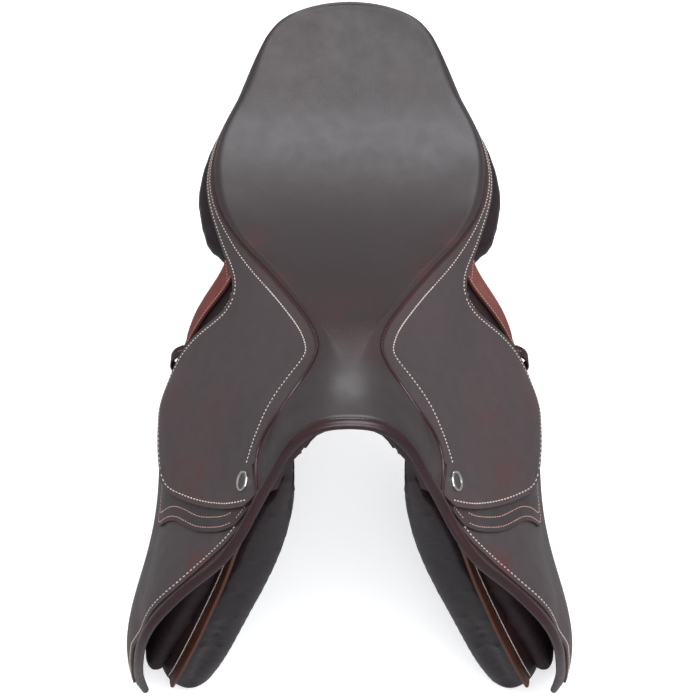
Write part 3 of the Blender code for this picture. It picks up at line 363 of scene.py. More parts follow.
# ---------------------------------------------------------------- outlines in side view (y, z)
SKIRT_EDGE = along([(-213, 44), (-205, 25), (-190, -2), (-171.5, -28.5), (-154, -48), (-132, -64), (-111, -62), (-93, -55.5), (-76, -49.5),
                    (-56, -44), (-37, -35), (-25, -24.5), (-15.5, -9), (-10.5, 8), (-8.8, 25), (-7.2, 38), (-2.5, 47), (3, 50.5)])
YOKE_EDGE = along([(4, 52), (12, 54.5), (24, 56), (45, 56.5), (75, 64), (100, 71), (128, 77), (160, 84), (186, 92), (196, 101)])
FLAP_REAR = [(-31, 34), (-40, 0), (-40, -40), (-25, -80), (-5, -130), (5, -190), (0, -240), (-20, -275)]
FLAP_LOW = [(-241, -262), (-215, -283), (-180, -294), (-120, -296), (-60, -289), (-20, -275)]


def clear_of_seam(y, reach):
    """Height at station y, under the seam, whose surface point stands this far from the seam."""
    z = np.linspace(121, 30, 365)
    p = OUTER.point(np.full(z.shape, float(y)), z, 0)
    s = SEAM(np.linspace(0, 1, 500))
    d = np.sqrt(((p[:, None] - s[None]) ** 2).sum(-1)).min(axis=1)
    ok = (d >= reach) & (z < np.interp(y, _seam[:, 0], _seam[:, 1]))
    return z[np.nonzero(ok)[0][0]]




# ---------------------------------------------------------------- small maths
def unit(a):
    a = np.asarray(a, float)
    return a / (np.linalg.norm(a, axis=-1, keepdims=True) + 1e-12)


def grid_normals(g, outward):
    """Normals of a grid of points, on the side of the vector outward."""
    n = unit(np.cross(np.gradient(g, axis=0), np.gradient(g, axis=1)))
    return -n if (n @ np.asarray(outward, float)).mean() < 0 else n


def hinge_height(y, depth=0.0):
    """Height on the outer surface at station y that lies in the hinge plane."""
    z = np.linspace(110, -20, 521)
    h = above(OUTER.point(np.full(z.shape, float(y)), z, depth))
    return float(np.interp(0.0, h[::-1], z[::-1]))


def resample(points, step):
    """Points a fixed step apart along a polyline."""
    p = np.asarray(points, float)
    d = np.concatenate([[0], np.cumsum(np.linalg.norm(np.diff(p, axis=0), axis=1))])
    t = np.arange(step / 2, d[-1], step)
    q = np.stack([np.interp(t, d, p[:, k]) for k in range(p.shape[1])], -1)
    return q


def row_on(surface, line, offset=0.0, depth=0.0, n=400):
    """Polyline (points, normals) on a side surface along a spline of (y, z), moved sideways over the leather by offset."""
    yz = np.asarray(line, float)
    p, nn = surface.point(yz[:, 0], yz[:, 1], depth), surface.normal(yz[:, 0], yz[:, 1])
    b = unit(np.cross(nn, unit(np.gradient(p, axis=0))))
    yz = yz + offset * b[:, 1:]
    return surface.point(yz[:, 0], yz[:, 1], depth), surface.normal(yz[:, 0], yz[:, 1]), yz


def distance_to(points, line):
    """Distance of each point to a polyline's points."""
    flat, out = points.reshape(-1, 3), []
    for k in range(0, len(flat), 4000):
        out.append(np.sqrt(((flat[k:k + 4000, None] - line[None]) ** 2).sum(-1)).min(axis=1))
    return np.concatenate(out).reshape(points.shape[:-1])


# ---------------------------------------------------------------- mesh pieces
class Piece:
    """Collects shapes, in millimetres for the left side, that become one object."""

    def __init__(self, name):
        self.name, self.v, self.f, self.m, self.e, self.w, self.n = name, [], [], [], [], [], 0

    def add(self, verts, faces, slot=0, edge=0.0, wear=0.0):
        verts = np.asarray(verts, float).reshape(-1, 3)
        self.v.append(verts)
        self.f.extend([tuple(int(i) + self.n for i in f) for f in faces])
        self.m.extend([slot] * len(faces))
        self.e.append(np.broadcast_to(np.asarray(edge, float).reshape(-1) if np.ndim(edge) else edge, (len(verts),)))
        self.w.append(np.broadcast_to(np.asarray(wear, float).reshape(-1) if np.ndim(wear) else wear, (len(verts),)))
        self.n += len(verts)
        return self

    def make(self, mats, side=1, angle=50.0, name=None, recalc=True):
        name = name or self.name
        v = np.concatenate(self.v) * [side, 1, 1] / 1000
        mesh = bpy.data.meshes.new(name)
        mesh.from_pydata(v.tolist(), [], self.f)
        mesh.polygons.foreach_set("material_index", np.array(self.m, np.int32))
        for key, data in (("edge", self.e), ("tint", self.w)):
            a = mesh.attributes.new(key, "FLOAT", "POINT")
            a.data.foreach_set("value", np.concatenate(data).astype(np.float32))
        if recalc:
            bm = bmesh.new()
            bm.from_mesh(mesh)
            bmesh.ops.remove_doubles(bm, verts=bm.verts, dist=2e-6)
            bmesh.ops.recalc_face_normals(bm, faces=bm.faces)
            bm.to_mesh(mesh)
            bm.free()
        mesh.shade_smooth()
        mesh.set_sharp_from_angle(angle=math.radians(angle))
        for m in mats if isinstance(mats, (list, tuple)) else [mats]:
            mesh.materials.append(m)
        obj = bpy.data.objects.new(name, mesh)
        bpy.context.scene.collection.objects.link(obj)
        return obj


def quads(n, m, wrap=False):
    """Faces of an n by m grid of vertices; wrap closes the second direction."""
    out = []
    for i in range(n - 1):
        for j in range(m if wrap else m - 1):
            k = (j + 1) % m
            out.append((i * m + j, (i + 1) * m + j, (i + 1) * m + k, i * m + k))
    return out


def slab(piece, g, nrm, thick, r=0.5, flush=(), slot=0, tint=0.0, edge_amount=1.0):
    """A leather sheet with rounded cut edges. g is its outer face; sides named in flush meet a neighbour and stay square."""
    n, m = g.shape[:2]
    s = np.zeros_like(g)
    keep = np.zeros((n, m))
    for side, a, b in (("i0", (0, slice(None)), (1, slice(None))), ("i1", (-1, slice(None)), (-2, slice(None))),
                       ("j0", (slice(None), 0), (slice(None), 1)), ("j1", (slice(None), -1), (slice(None), -2))):
        if side not in flush:
            s[a] += unit(g[b] - g[a])
            keep[a] = 1
    thick = np.asarray(thick, float)
    t = (thick if thick.ndim else np.full((n, m), float(thick)))[..., None]
    outer, inner = g + s * r, g + s * r - nrm * t
    loop = [(i, 0) for i in range(n)] + [(n - 1, j) for j in range(1, m)] + [(i, m - 1) for i in range(n - 2, -1, -1)] + [(0, j) for j in range(m - 2, 0, -1)]
    li, lj = np.array([a for a, _ in loop]), np.array([b for _, b in loop])
    G, S, N, T, K = g[li, lj], s[li, lj], nrm[li, lj], t[li, lj], keep[li, lj]
    rings = [G + S * 0.3 * r - N * 0.3 * r, G - N * r, G - N * (T - r), G + S * 0.3 * r - N * (T - 0.3 * r)]
    size, L = n * m, len(loop)
    verts = np.concatenate([outer.reshape(-1, 3)] + rings + [inner.reshape(-1, 3)])
    faces = quads(n, m)
    base_in = size + 4 * L
    faces += [tuple(base_in + i for i in f[::-1]) for f in quads(n, m)]
    ids = [li * m + lj] + [size + k * L + np.arange(L) for k in range(4)] + [base_in + li * m + lj]
    for a, b in zip(ids, ids[1:]):
        for j in range(L):
            k = (j + 1) % L
            faces.append((a[j], a[k], b[k], b[j]))
    soft = keep * 0.45 * edge_amount
    edge = np.concatenate([soft.reshape(-1)] + [K * edge_amount] * 4 + [soft.reshape(-1)])
    tint = np.broadcast_to(tint, (n, m)).reshape(-1)
    wear = np.concatenate([tint] + [tint[li * m + lj]] * 4 + [tint])
    piece.add(verts, faces, slot, edge, wear)
    return piece


def tube(piece, points, radius, sides=16, slot=0, tint=0.0, caps=True, up=(0, 0, 1), flat=1.0, cyclic=False, ridge=None):
    """A round or slightly flattened tube along a polyline, with rounded ends."""
    p = np.asarray(points, float)
    r = np.broadcast_to(np.asarray(radius, float), (len(p),))
    if cyclic:
        tan = unit(np.roll(p, -1, 0) - np.roll(p, 1, 0))
    else:
        tan = unit(np.gradient(p, axis=0))
    a = np.asarray(up, float) - tan[0] * (tan[0] @ np.asarray(up, float))
    a = unit(a)
    frames = []
    for t in tan:
        a = unit(a - t * (t @ a))
        frames.append(a)
    A = np.array(frames)
    B = np.cross(tan, A)
    if caps and not cyclic:
        q = np.array([1.0, 0.92, 0.71, 0.38])
        k = np.sqrt(1 - (q - 0) ** 2 + 1e-9)
        head = [(p[0] - tan[0] * r[0] * d, r[0] * w) for d, w in ((0.97, 0.24), (0.8, 0.6), (0.45, 0.89))]
        tail = [(p[-1] + tan[-1] * r[-1] * d, r[-1] * w) for d, w in ((0.45, 0.89), (0.8, 0.6), (0.97, 0.24))]
        P = np.array([x for x, _ in head] + list(p) + [x for x, _ in tail])
        R = np.array([x for _, x in head] + list(r) + [x for _, x in tail])
        A = np.concatenate([A[:1]] * 3 + [A] + [A[-1:]] * 3)
        B = np.concatenate([B[:1]] * 3 + [B] + [B[-1:]] * 3)
    else:
        P, R = p, r
    ang = np.linspace(0, 2 * math.pi, sides, endpoint=False)
    prof = np.ones(sides) if ridge is None else ridge(ang)
    rings = P[:, None] + R[:, None, None] * prof[None, :, None] * (np.cos(ang)[None, :, None] * A[:, None] + flat * np.sin(ang)[None, :, None] * B[:, None])
    n = len(P)
    verts = rings.reshape(-1, 3)
    faces = quads(n, sides, wrap=True)
    if cyclic:
        faces += [((n - 1) * sides + j, j, (j + 1) % sides, (n - 1) * sides + (j + 1) % sides) for j in range(sides)]
    else:
        verts = np.concatenate([verts, P[:1], P[-1:]])
        for j in range(sides):
            faces.append((n * sides, (j + 1) % sides, j))
            faces.append((n * sides + 1, (n - 1) * sides + j, (n - 1) * sides + (j + 1) % sides))
    tint = np.broadcast_to(np.asarray(tint, float), (len(P),)) if np.ndim(tint) == 0 else np.interp(np.linspace(0, 1, len(P)), np.linspace(0, 1, len(tint)), tint)
    wear = np.repeat(tint, sides)
    if not cyclic:
        wear = np.concatenate([wear, [tint[0], tint[-1]]])
    piece.add(verts, faces, slot, 0.0, wear)
    return piece


def stitches(piece, points, normals, pitch=3.3, length=2.3, r=0.36, slot=1, slant=0.0):
    """A row of thread stitches: short rounded dashes whose ends dive into the leather."""
    p = np.asarray(points, float)
    nn = np.asarray(normals, float)
    both = resample(np.concatenate([p, nn], axis=1), pitch)
    c, n = both[:, :3], unit(both[:, 3:])
    if len(c) < 2:
        return piece
    t = unit(np.gradient(c, axis=0))
    b = unit(np.cross(n, t))
    t = unit(t + slant * b)
    s = np.array([-1.0, -0.92, -0.7, -0.35, 0.0, 0.35, 0.7, 0.92, 1.0])
    lift = 0.30 - 1.15 * np.abs(s) ** 3.2
    girth = np.array([0.35, 0.75, 0.95, 1.0, 1.05, 1.0, 0.95, 0.75, 0.35])
    ang = np.linspace(0, 2 * math.pi, 6, endpoint=False)
    axis = c[:, None] + t[:, None] * (s * length / 2)[None, :, None] + n[:, None] * (lift * r * 1.3)[None, :, None]
    ring = axis[:, :, None] + r * girth[None, :, None, None] * (np.cos(ang)[None, None, :, None] * b[:, None, None] * 1.12 + np.sin(ang)[None, None, :, None] * n[:, None, None] * 0.9)
    k, u, v = ring.shape[:3]
    faces = []
    cell = quads(u, v, wrap=True) + [tuple(range(v))[::-1], tuple((u - 1) * v + j for j in range(v))]
    for q in range(k):
        o = q * u * v
        faces += [tuple(o + i for i in f) for f in cell]
    piece.add(ring.reshape(-1, 3), faces, slot)
    return piece


def groove(g, nrm, line, depth=0.35, width=1.1):
    """Presses a shallow channel into a grid along a polyline, as a stitch row does."""
    d = distance_to(g, np.asarray(line)[::2])
    return g - nrm * (depth * np.exp(-(d / width) ** 2))[..., None]


# ---------------------------------------------------------------- materials
def shader(name):
    m = bpy.data.materials.new(name)
    m.use_nodes = True
    nt = m.node_tree
    return m, nt, nt.nodes["Principled BSDF"], nt.links


def leather(name, base, warm, dark, rough=0.42, grain=900.0, bump=0.10, edge=(0.060, 0.022, 0.018), specular=0.5, streak=0.0, patch=0.5, coat=0.0):
    """Finished bridle leather: uneven tone in soft patches, crimson tint where asked, fine grain, uneven gloss, darker or redder cut edges."""
    m, nt, b, link = shader(name)
    new = nt.nodes.new
    co = new("ShaderNodeTexCoord")
    big = new("ShaderNodeTexNoise"); big.inputs["Scale"].default_value = 13.0; big.inputs["Detail"].default_value = 3.0; big.inputs["Roughness"].default_value = 0.45
    mid = new("ShaderNodeTexNoise"); mid.inputs["Scale"].default_value = 70.0; mid.inputs["Detail"].default_value = 5.0
    fine = new("ShaderNodeTexNoise"); fine.inputs["Scale"].default_value = 1500.0; fine.inputs["Detail"].default_value = 2.0
    cell = new("ShaderNodeTexVoronoi"); cell.inputs["Scale"].default_value = grain; cell.feature = "SMOOTH_F1"
    stretch = new("ShaderNodeMapping"); stretch.inputs["Scale"].default_value = (1.0, 0.35, 1.0)
    link.new(co.outputs["Object"], stretch.inputs["Vector"])
    for t in (mid, fine, cell):
        link.new(co.outputs["Object"], t.inputs["Vector"])
    link.new(stretch.outputs["Vector"], big.inputs["Vector"])
    tone = new("ShaderNodeMapRange"); tone.inputs["From Min"].default_value = 0.42; tone.inputs["From Max"].default_value = 0.66
    tone.inputs["To Max"].default_value = patch
    link.new(big.outputs["Fac"], tone.inputs["Value"])
    mix1 = new("ShaderNodeMix"); mix1.data_type = "RGBA"
    mix1.inputs["A"].default_value = (*base, 1); mix1.inputs["B"].default_value = (*warm, 1)
    link.new(tone.outputs["Result"], mix1.inputs["Factor"])
    spot = new("ShaderNodeMapRange"); spot.inputs["From Min"].default_value = 0.35; spot.inputs["From Max"].default_value = 0.75; spot.inputs["To Max"].default_value = 0.35
    link.new(mid.outputs["Fac"], spot.inputs["Value"])
    mix2 = new("ShaderNodeMix"); mix2.data_type = "RGBA"
    mix2.inputs["B"].default_value = (*dark, 1)
    link.new(mix1.outputs["Result"], mix2.inputs["A"]); link.new(spot.outputs["Result"], mix2.inputs["Factor"])
    tint = new("ShaderNodeAttribute"); tint.attribute_name = "tint"
    gate = new("ShaderNodeMath"); gate.operation = "MULTIPLY"
    more = new("ShaderNodeMapRange"); more.inputs["From Min"].default_value = 0.30; more.inputs["From Max"].default_value = 0.60
    link.new(mid.outputs["Fac"], more.inputs["Value"])
    link.new(tint.outputs["Fac"], gate.inputs[0]); link.new(more.outputs["Result"], gate.inputs[1])
    mix3 = new("ShaderNodeMix"); mix3.data_type = "RGBA"
    mix3.inputs["B"].default_value = (0.115, 0.022, 0.024, 1)
    link.new(mix2.outputs["Result"], mix3.inputs["A"]); link.new(gate.outputs["Value"], mix3.inputs["Factor"])
    rim = new("ShaderNodeAttribute"); rim.attribute_name = "edge"
    mix4 = new("ShaderNodeMix"); mix4.data_type = "RGBA"
    mix4.inputs["B"].default_value = (*edge, 1)
    link.new(mix3.outputs["Result"], mix4.inputs["A"]); link.new(rim.outputs["Fac"], mix4.inputs["Factor"])
    link.new(mix4.outputs["Result"], b.inputs["Base Color"])
    rr = new("ShaderNodeMapRange"); rr.inputs["To Min"].default_value = rough - 0.07; rr.inputs["To Max"].default_value = rough + 0.10
    link.new(mid.outputs["Fac"], rr.inputs["Value"]); link.new(rr.outputs["Result"], b.inputs["Roughness"])
    add = new("ShaderNodeMath"); add.operation = "MULTIPLY_ADD"; add.inputs[1].default_value = 0.45
    link.new(fine.outputs["Fac"], add.inputs[0]); link.new(cell.outputs["Distance"], add.inputs[2])
    bp = new("ShaderNodeBump"); bp.inputs["Strength"].default_value = bump; bp.inputs["Distance"].default_value = 0.0006
    link.new(add.outputs["Value"], bp.inputs["Height"])
    wave = new("ShaderNodeBump"); wave.inputs["Strength"].default_value = 0.05; wave.inputs["Distance"].default_value = 0.004
    link.new(mid.outputs["Fac"], wave.inputs["Height"]); link.new(bp.outputs["Normal"], wave.inputs["Normal"])
    link.new(wave.outputs["Normal"], b.inputs["Normal"])
    b.inputs["Specular IOR Level"].default_value = specular
    b.inputs["Coat Weight"].default_value = coat
    b.inputs["Coat Roughness"].default_value = 0.35
    return m


def metal(name, colour, rough, scratch=0.05):
    m, nt, b, link = shader(name)
    new = nt.nodes.new
    co = new("ShaderNodeTexCoord")
    n1 = new("ShaderNodeTexNoise"); n1.inputs["Scale"].default_value = 420.0; n1.inputs["Detail"].default_value = 4.0
    mp = new("ShaderNodeMapping"); mp.inputs["Scale"].default_value = (1.0, 0.12, 1.0)
    link.new(co.outputs["Object"], mp.inputs["Vector"]); link.new(mp.outputs["Vector"], n1.inputs["Vector"])
    ramp_ = new("ShaderNodeMapRange"); ramp_.inputs["To Min"].default_value = max(rough - 0.08, 0.03); ramp_.inputs["To Max"].default_value = rough + 0.15
    link.new(n1.outputs["Fac"], ramp_.inputs["Value"]); link.new(ramp_.outputs["Result"], b.inputs["Roughness"])
    mix = new("ShaderNodeMix"); mix.data_type = "RGBA"
    mix.inputs["A"].default_value = (*colour, 1); mix.inputs["B"].default_value = (*[c * 0.72 for c in colour], 1)
    link.new(n1.outputs["Fac"], mix.inputs["Factor"]); link.new(mix.outputs["Result"], b.inputs["Base Color"])
    bp = new("ShaderNodeBump"); bp.inputs["Strength"].default_value = scratch; bp.inputs["Distance"].default_value = 0.0003
    link.new(n1.outputs["Fac"], bp.inputs["Height"]); link.new(bp.outputs["Normal"], b.inputs["Normal"])
    b.inputs["Metallic"].default_value = 1.0
    return m


def thread(name, colour):
    m, nt, b, link = shader(name)
    new = nt.nodes.new
    co = new("ShaderNodeTexCoord")
    n1 = new("ShaderNodeTexNoise"); n1.inputs["Scale"].default_value = 300.0
    w = new("ShaderNodeTexWave"); w.inputs["Scale"].default_value = 900.0; w.bands_direction = "DIAGONAL"
    link.new(co.outputs["Object"], n1.inputs["Vector"]); link.new(co.outputs["Object"], w.inputs["Vector"])
    mix = new("ShaderNodeMix"); mix.data_type = "RGBA"
    mix.inputs["A"].default_value = (*colour, 1); mix.inputs["B"].default_value = (*[c * 0.62 for c in colour], 1)
    link.new(n1.outputs["Fac"], mix.inputs["Factor"]); link.new(mix.outputs["Result"], b.inputs["Base Color"])
    bp = new("ShaderNodeBump"); bp.inputs["Strength"].default_value = 0.5; bp.inputs["Distance"].default_value = 0.0002
    link.new(w.outputs["Fac"], bp.inputs["Height"]); link.new(bp.outputs["Normal"], b.inputs["Normal"])
    b.inputs["Roughness"].default_value = 0.6
    return m


def woven(name, a, c, scale=700.0):
    m, nt, b, link = shader(name)
    new = nt.nodes.new
    co = new("ShaderNodeTexCoord")
    w1 = new("ShaderNodeTexWave"); w1.inputs["Scale"].default_value = scale; w1.bands_direction = "X"
    w2 = new("ShaderNodeTexWave"); w2.inputs["Scale"].default_value = scale; w2.bands_direction = "Y"
    n = new("ShaderNodeTexNoise"); n.inputs["Scale"].default_value = 60.0
    for t in (w1, w2, n):
        link.new(co.outputs["Object"], t.inputs["Vector"])
    mul = new("ShaderNodeMath"); mul.operation = "MULTIPLY"
    link.new(w1.outputs["Fac"], mul.inputs[0]); link.new(w2.outputs["Fac"], mul.inputs[1])
    mix = new("ShaderNodeMix"); mix.data_type = "RGBA"
    mix.inputs["A"].default_value = (*a, 1); mix.inputs["B"].default_value = (*c, 1)
    av = new("ShaderNodeMath"); av.operation = "MULTIPLY_ADD"; av.inputs[1].default_value = 0.6
    link.new(mul.outputs["Value"], av.inputs[0]); link.new(n.outputs["Fac"], av.inputs[2])
    link.new(av.outputs["Value"], mix.inputs["Factor"]); link.new(mix.outputs["Result"], b.inputs["Base Color"])
    bp = new("ShaderNodeBump"); bp.inputs["Strength"].default_value = 0.6; bp.inputs["Distance"].default_value = 0.0004
    link.new(mul.outputs["Value"], bp.inputs["Height"]); link.new(bp.outputs["Normal"], b.inputs["Normal"])
    b.inputs["Roughness"].default_value = 0.9
    return m


def grained(name, a, c):
    """Laminated wood grain in the two given colours."""
    m, nt, b, link = shader(name)
    new = nt.nodes.new
    co = new("ShaderNodeTexCoord")
    mp = new("ShaderNodeMapping"); mp.inputs["Scale"].default_value = (1.0, 0.08, 1.0)
    n = new("ShaderNodeTexNoise"); n.inputs["Scale"].default_value = 260.0; n.inputs["Detail"].default_value = 6.0
    w = new("ShaderNodeTexWave"); w.inputs["Scale"].default_value = 120.0; w.inputs["Distortion"].default_value = 3.0; w.bands_direction = "Z"
    link.new(co.outputs["Object"], mp.inputs["Vector"])
    for t in (n, w):
        link.new(mp.outputs["Vector"], t.inputs["Vector"])
    mix = new("ShaderNodeMix"); mix.data_type = "RGBA"
    mix.inputs["A"].default_value = (*a, 1); mix.inputs["B"].default_value = (*c, 1)
    s = new("ShaderNodeMath"); s.operation = "MULTIPLY"
    link.new(n.outputs["Fac"], s.inputs[0]); link.new(w.outputs["Fac"], s.inputs[1])
    link.new(s.outputs["Value"], mix.inputs["Factor"]); link.new(mix.outputs["Result"], b.inputs["Base Color"])
    bp = new("ShaderNodeBump"); bp.inputs["Strength"].default_value = 0.15; bp.inputs["Distance"].default_value = 0.0004
    link.new(n.outputs["Fac"], bp.inputs["Height"]); link.new(bp.outputs["Normal"], b.inputs["Normal"])
    b.inputs["Roughness"].default_value = 0.5
    return m


SEAT_L = leather("seat_leather", (0.0315, 0.0245, 0.0250), (0.044, 0.032, 0.033), (0.0215, 0.0160, 0.0162), rough=0.42, bump=0.10)
SKIRT_L = leather("skirt_leather", (0.055, 0.0435, 0.0450), (0.070, 0.0490, 0.0530), (0.041, 0.0310, 0.0310), rough=0.46, bump=0.10, edge=(0.050, 0.018, 0.016), specular=0.45, patch=0.3)
PIPE_L = leather("piping_leather", (0.028, 0.0085, 0.0095), (0.056, 0.013, 0.015), (0.017, 0.006, 0.0065), rough=0.26, bump=0.04, specular=0.55)
ROLL_L = leather("roll_leather", (0.0190, 0.0078, 0.0098), (0.032, 0.0105, 0.0130), (0.012, 0.0052, 0.0065), rough=0.27, bump=0.05, specular=0.42)
GROOVE_L = leather("binding_leather", (0.030, 0.010, 0.010), (0.045, 0.012, 0.012), (0.015, 0.006, 0.006), rough=0.45, bump=0.08, specular=0.25)
RUSSET_L = leather("russet_leather", (0.190, 0.058, 0.050), (0.225, 0.080, 0.066), (0.105, 0.032, 0.027), rough=0.55, bump=0.12, edge=(0.085, 0.030, 0.024), patch=0.8, specular=0.10)
STRIP_L = leather("strip_leather", (0.078, 0.026, 0.014), (0.125, 0.046, 0.026), (0.040, 0.013, 0.008), rough=0.40, bump=0.12, edge=(0.070, 0.023, 0.014), patch=0.9, specular=0.30)
DARK_L = leather("lining_leather", (0.0290, 0.0185, 0.0205), (0.040, 0.0200, 0.0225), (0.017, 0.0105, 0.0120), rough=0.46, bump=0.10, edge=(0.030, 0.012, 0.010), specular=0.22)
# Knee and calf blocks: darker than the sweat-flap leather they lie on. This is painted shade for where they show under
# the flap's edge.
BLOCK_SHADED_L = leather("block_leather_painted_shade", (0.0190, 0.0125, 0.0140), (0.028, 0.0140, 0.0160), (0.011, 0.0070, 0.0080), rough=0.50, bump=0.10, specular=0.10)
PANEL_L = leather("panel_leather", (0.0115, 0.0080, 0.0100), (0.0220, 0.0100, 0.0122), (0.0072, 0.0050, 0.0062), rough=0.27, bump=0.06, specular=0.36)
BAND_L = leather("band_leather", (0.041, 0.0325, 0.0330), (0.054, 0.0370, 0.0400), (0.030, 0.0225, 0.0220), rough=0.46, bump=0.10, edge=(0.050, 0.018, 0.016), specular=0.38)
THREAD = thread("linen_thread", (0.72, 0.59, 0.50))
THREAD_P = thread("salmon_thread", (0.56, 0.34, 0.28))
STEEL = metal("stainless_steel", (0.72, 0.70, 0.66), 0.20)
DARK_STEEL = metal("darker_field_steel", (0.20, 0.19, 0.18), 0.38)
IRON = metal("black_steel", (0.045, 0.045, 0.05), 0.45)
# Tree wood kept near black: painted shade, so that where the tree shows through the gap at the head it reads as shadow.
TREE_WOOD_PAINTED_SHADE = grained("laminated_beech", (0.030, 0.016, 0.010), (0.062, 0.034, 0.020))
WEB = woven("woven_webbing", (0.42, 0.35, 0.25), (0.26, 0.20, 0.13))
FOAM = woven("seat_foam_rubber", (0.55, 0.48, 0.33), (0.40, 0.33, 0.20), scale=260.0)

LEFT_RIGHT = ((1, "left"), (-1, "right"))


def metres(p):
    return tuple(float(x) / 1000 for x in p)


# ---------------------------------------------------------------- seat
us = even_stations(190)
vs = np.array([0, 0.05, 0.10, 0.16, 0.22, 0.29, 0.36, 0.43, 0.50, 0.57, 0.64, 0.70, 0.76, 0.81, 0.86, 0.90, 0.935, 0.965, 0.985, 1.0])
wall = np.array([0.07, 0.16, 0.28, 0.40, 0.52, 0.64, 0.76, 0.88, 1.0])


def seat_side(us, rows, tuck=0.9):
    """Side wall of the seat, from the rim down to just inside the piping."""
    rim, seam = RIM(us), seam_for(us)
    reach = np.linalg.norm(seam - rim, axis=1)
    end = 1 - tuck / reach
    out = []
    for w in rows:
        f = (w * end)[:, None]
        p = rim * (1 - f) + seam * f
        away = unit(np.stack([rim[:, 0], np.maximum(rim[:, 1] - 90, 0), np.zeros(len(us))], -1))
        p = p + away * (math.sin(math.pi * w) * np.interp(reach, [5, 12, 60], [0.0, 0.8, 2.6]))[:, None]
        out.append(p)
    return np.stack(out, axis=1)


top = np.concatenate([np.stack([seat_point(us, v) for v in vs], axis=1), seat_side(us, wall)], axis=1)
top = on_middle(top)
# the rim rounds over into the side wall: a few passes of smoothing across it
k = len(vs) - 1
for _ in range(4):
    a = top.copy()
    for j in range(k - 2, k + 3):
        top[:, j] = 0.25 * a[:, j - 1] + 0.5 * a[:, j] + 0.25 * a[:, j + 1]
lost = RIM(us) - top[:, k]
lost[:, 0] *= 0.4
top += (lost * ramp(RIM(us)[:, 1], 176, 204)[:, None])[:, None] * np.exp(-((np.arange(top.shape[1]) - k) / 3.2) ** 2)[None, :, None]
for _ in range(3):
    a = top.copy()
    top[1:-1, 1:-1] = 0.5 * a[1:-1, 1:-1] + 0.25 * (a[:-2, 1:-1] + a[2:, 1:-1])
front_curve = FRONT(np.linspace(0, 0.5, 400))
edge0 = top[0].copy()
near = np.array([front_curve[int(np.argmin(((front_curve - p) ** 2).sum(1)))] for p in edge0])
gap = np.linalg.norm(edge0 - near, axis=1, keepdims=True)
row0 = near + (edge0 - near) * np.minimum(1, 3.2 / gap)
row_half = near + (edge0 - near) * np.minimum(1, (3.2 + gap) / 2 / gap)
top = np.concatenate([row0[None], row_half[None], top])
top[:, 0, 0] = 0
nrm = seat_normals(top)
cover = mirrored(top)
cn = mirrored(nrm)
inner = mirrored(on_middle(top - nrm * 2.4))
seam_pts = SEAM(np.linspace(0, 1, 400))
tint = np.exp(-(distance_to(np.abs(cover) * [1, 0, 0] + cover * [0, 1, 1], seam_pts) / 9.0) ** 2) * 0.14
for sx, sy, reach, amount in ((67, -6, 13, 0.55), (92, 34, 14, 0.40), (-63, -20, 12, 0.35), (-88, 30, 13, 0.30), (14, -100, 30, 0.22), (-10, -60, 34, 0.20)):
    tint = np.maximum(tint, amount * np.exp(-((cover[..., 0] - sx) ** 2 + (cover[..., 1] - sy) ** 2) / reach ** 2))
piece = Piece("seat_leather_cover")
n, m = cover.shape[:2]
faces = quads(n, m) + [tuple(i + n * m for i in f[::-1]) for f in quads(n, m)]
loop = [i * m for i in range(n)] + [(n - 1) * m + j for j in range(1, m)] + [i * m + m - 1 for i in range(n - 2, -1, -1)] + [j for j in range(m - 2, 0, -1)]
for a, b in zip(loop, loop[1:] + loop[:1]):
    if a // m == n - 1 and b // m == n - 1:
        continue
    faces.append((a, b, b + n * m, a + n * m))
piece.add(np.concatenate([cover.reshape(-1, 3), inner.reshape(-1, 3)]), faces, 0, 0.0, np.concatenate([tint.reshape(-1), tint.reshape(-1)]))
seat = piece.make([SEAT_L], angle=60)
bm = bmesh.new()
bm.from_mesh(seat.data)
bmesh.ops.remove_doubles(bm, verts=bm.verts, dist=3e-5)
bmesh.ops.recalc_face_normals(bm, faces=bm.faces)
bm.to_mesh(seat.data)
bm.free()
seat.data.shade_smooth()
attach(seat, "saddle"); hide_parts("seat_cover")

# foam and webbing under the cover
fu = even_stations(90)[8:]
ft = np.stack([seat_point(fu, v) for v in np.linspace(0, 0.84, 14)], axis=1)
ft = on_middle(ft - seat_normals(ft) * 5.8)
fb = ft.copy()
fb[..., 2] -= np.interp(ft[..., 1], [-185, -150, -110, -60, 110, 150, 190], [3.5, 6, 11, FOAM_T, FOAM_T, 7, 4.5])
piece = Piece("seat_foam_pad")
a, b = mirrored(ft), mirrored(fb)
n, m = a.shape[:2]
faces = quads(n, m) + [tuple(i + n * m for i in f[::-1]) for f in quads(n, m)]
loop = [i * m for i in range(n)] + [(n - 1) * m + j for j in range(1, m)] + [i * m + m - 1 for i in range(n - 2, -1, -1)] + [j for j in range(m - 2, 0, -1)]
faces += [(p, q, q + n * m, p + n * m) for p, q in zip(loop, loop[1:] + loop[:1])]
piece.add(np.concatenate([a.reshape(-1, 3), b.reshape(-1, 3)]), faces)
foam = piece.make([FOAM], angle=60)
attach(foam, "saddle"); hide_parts("seat_foam")

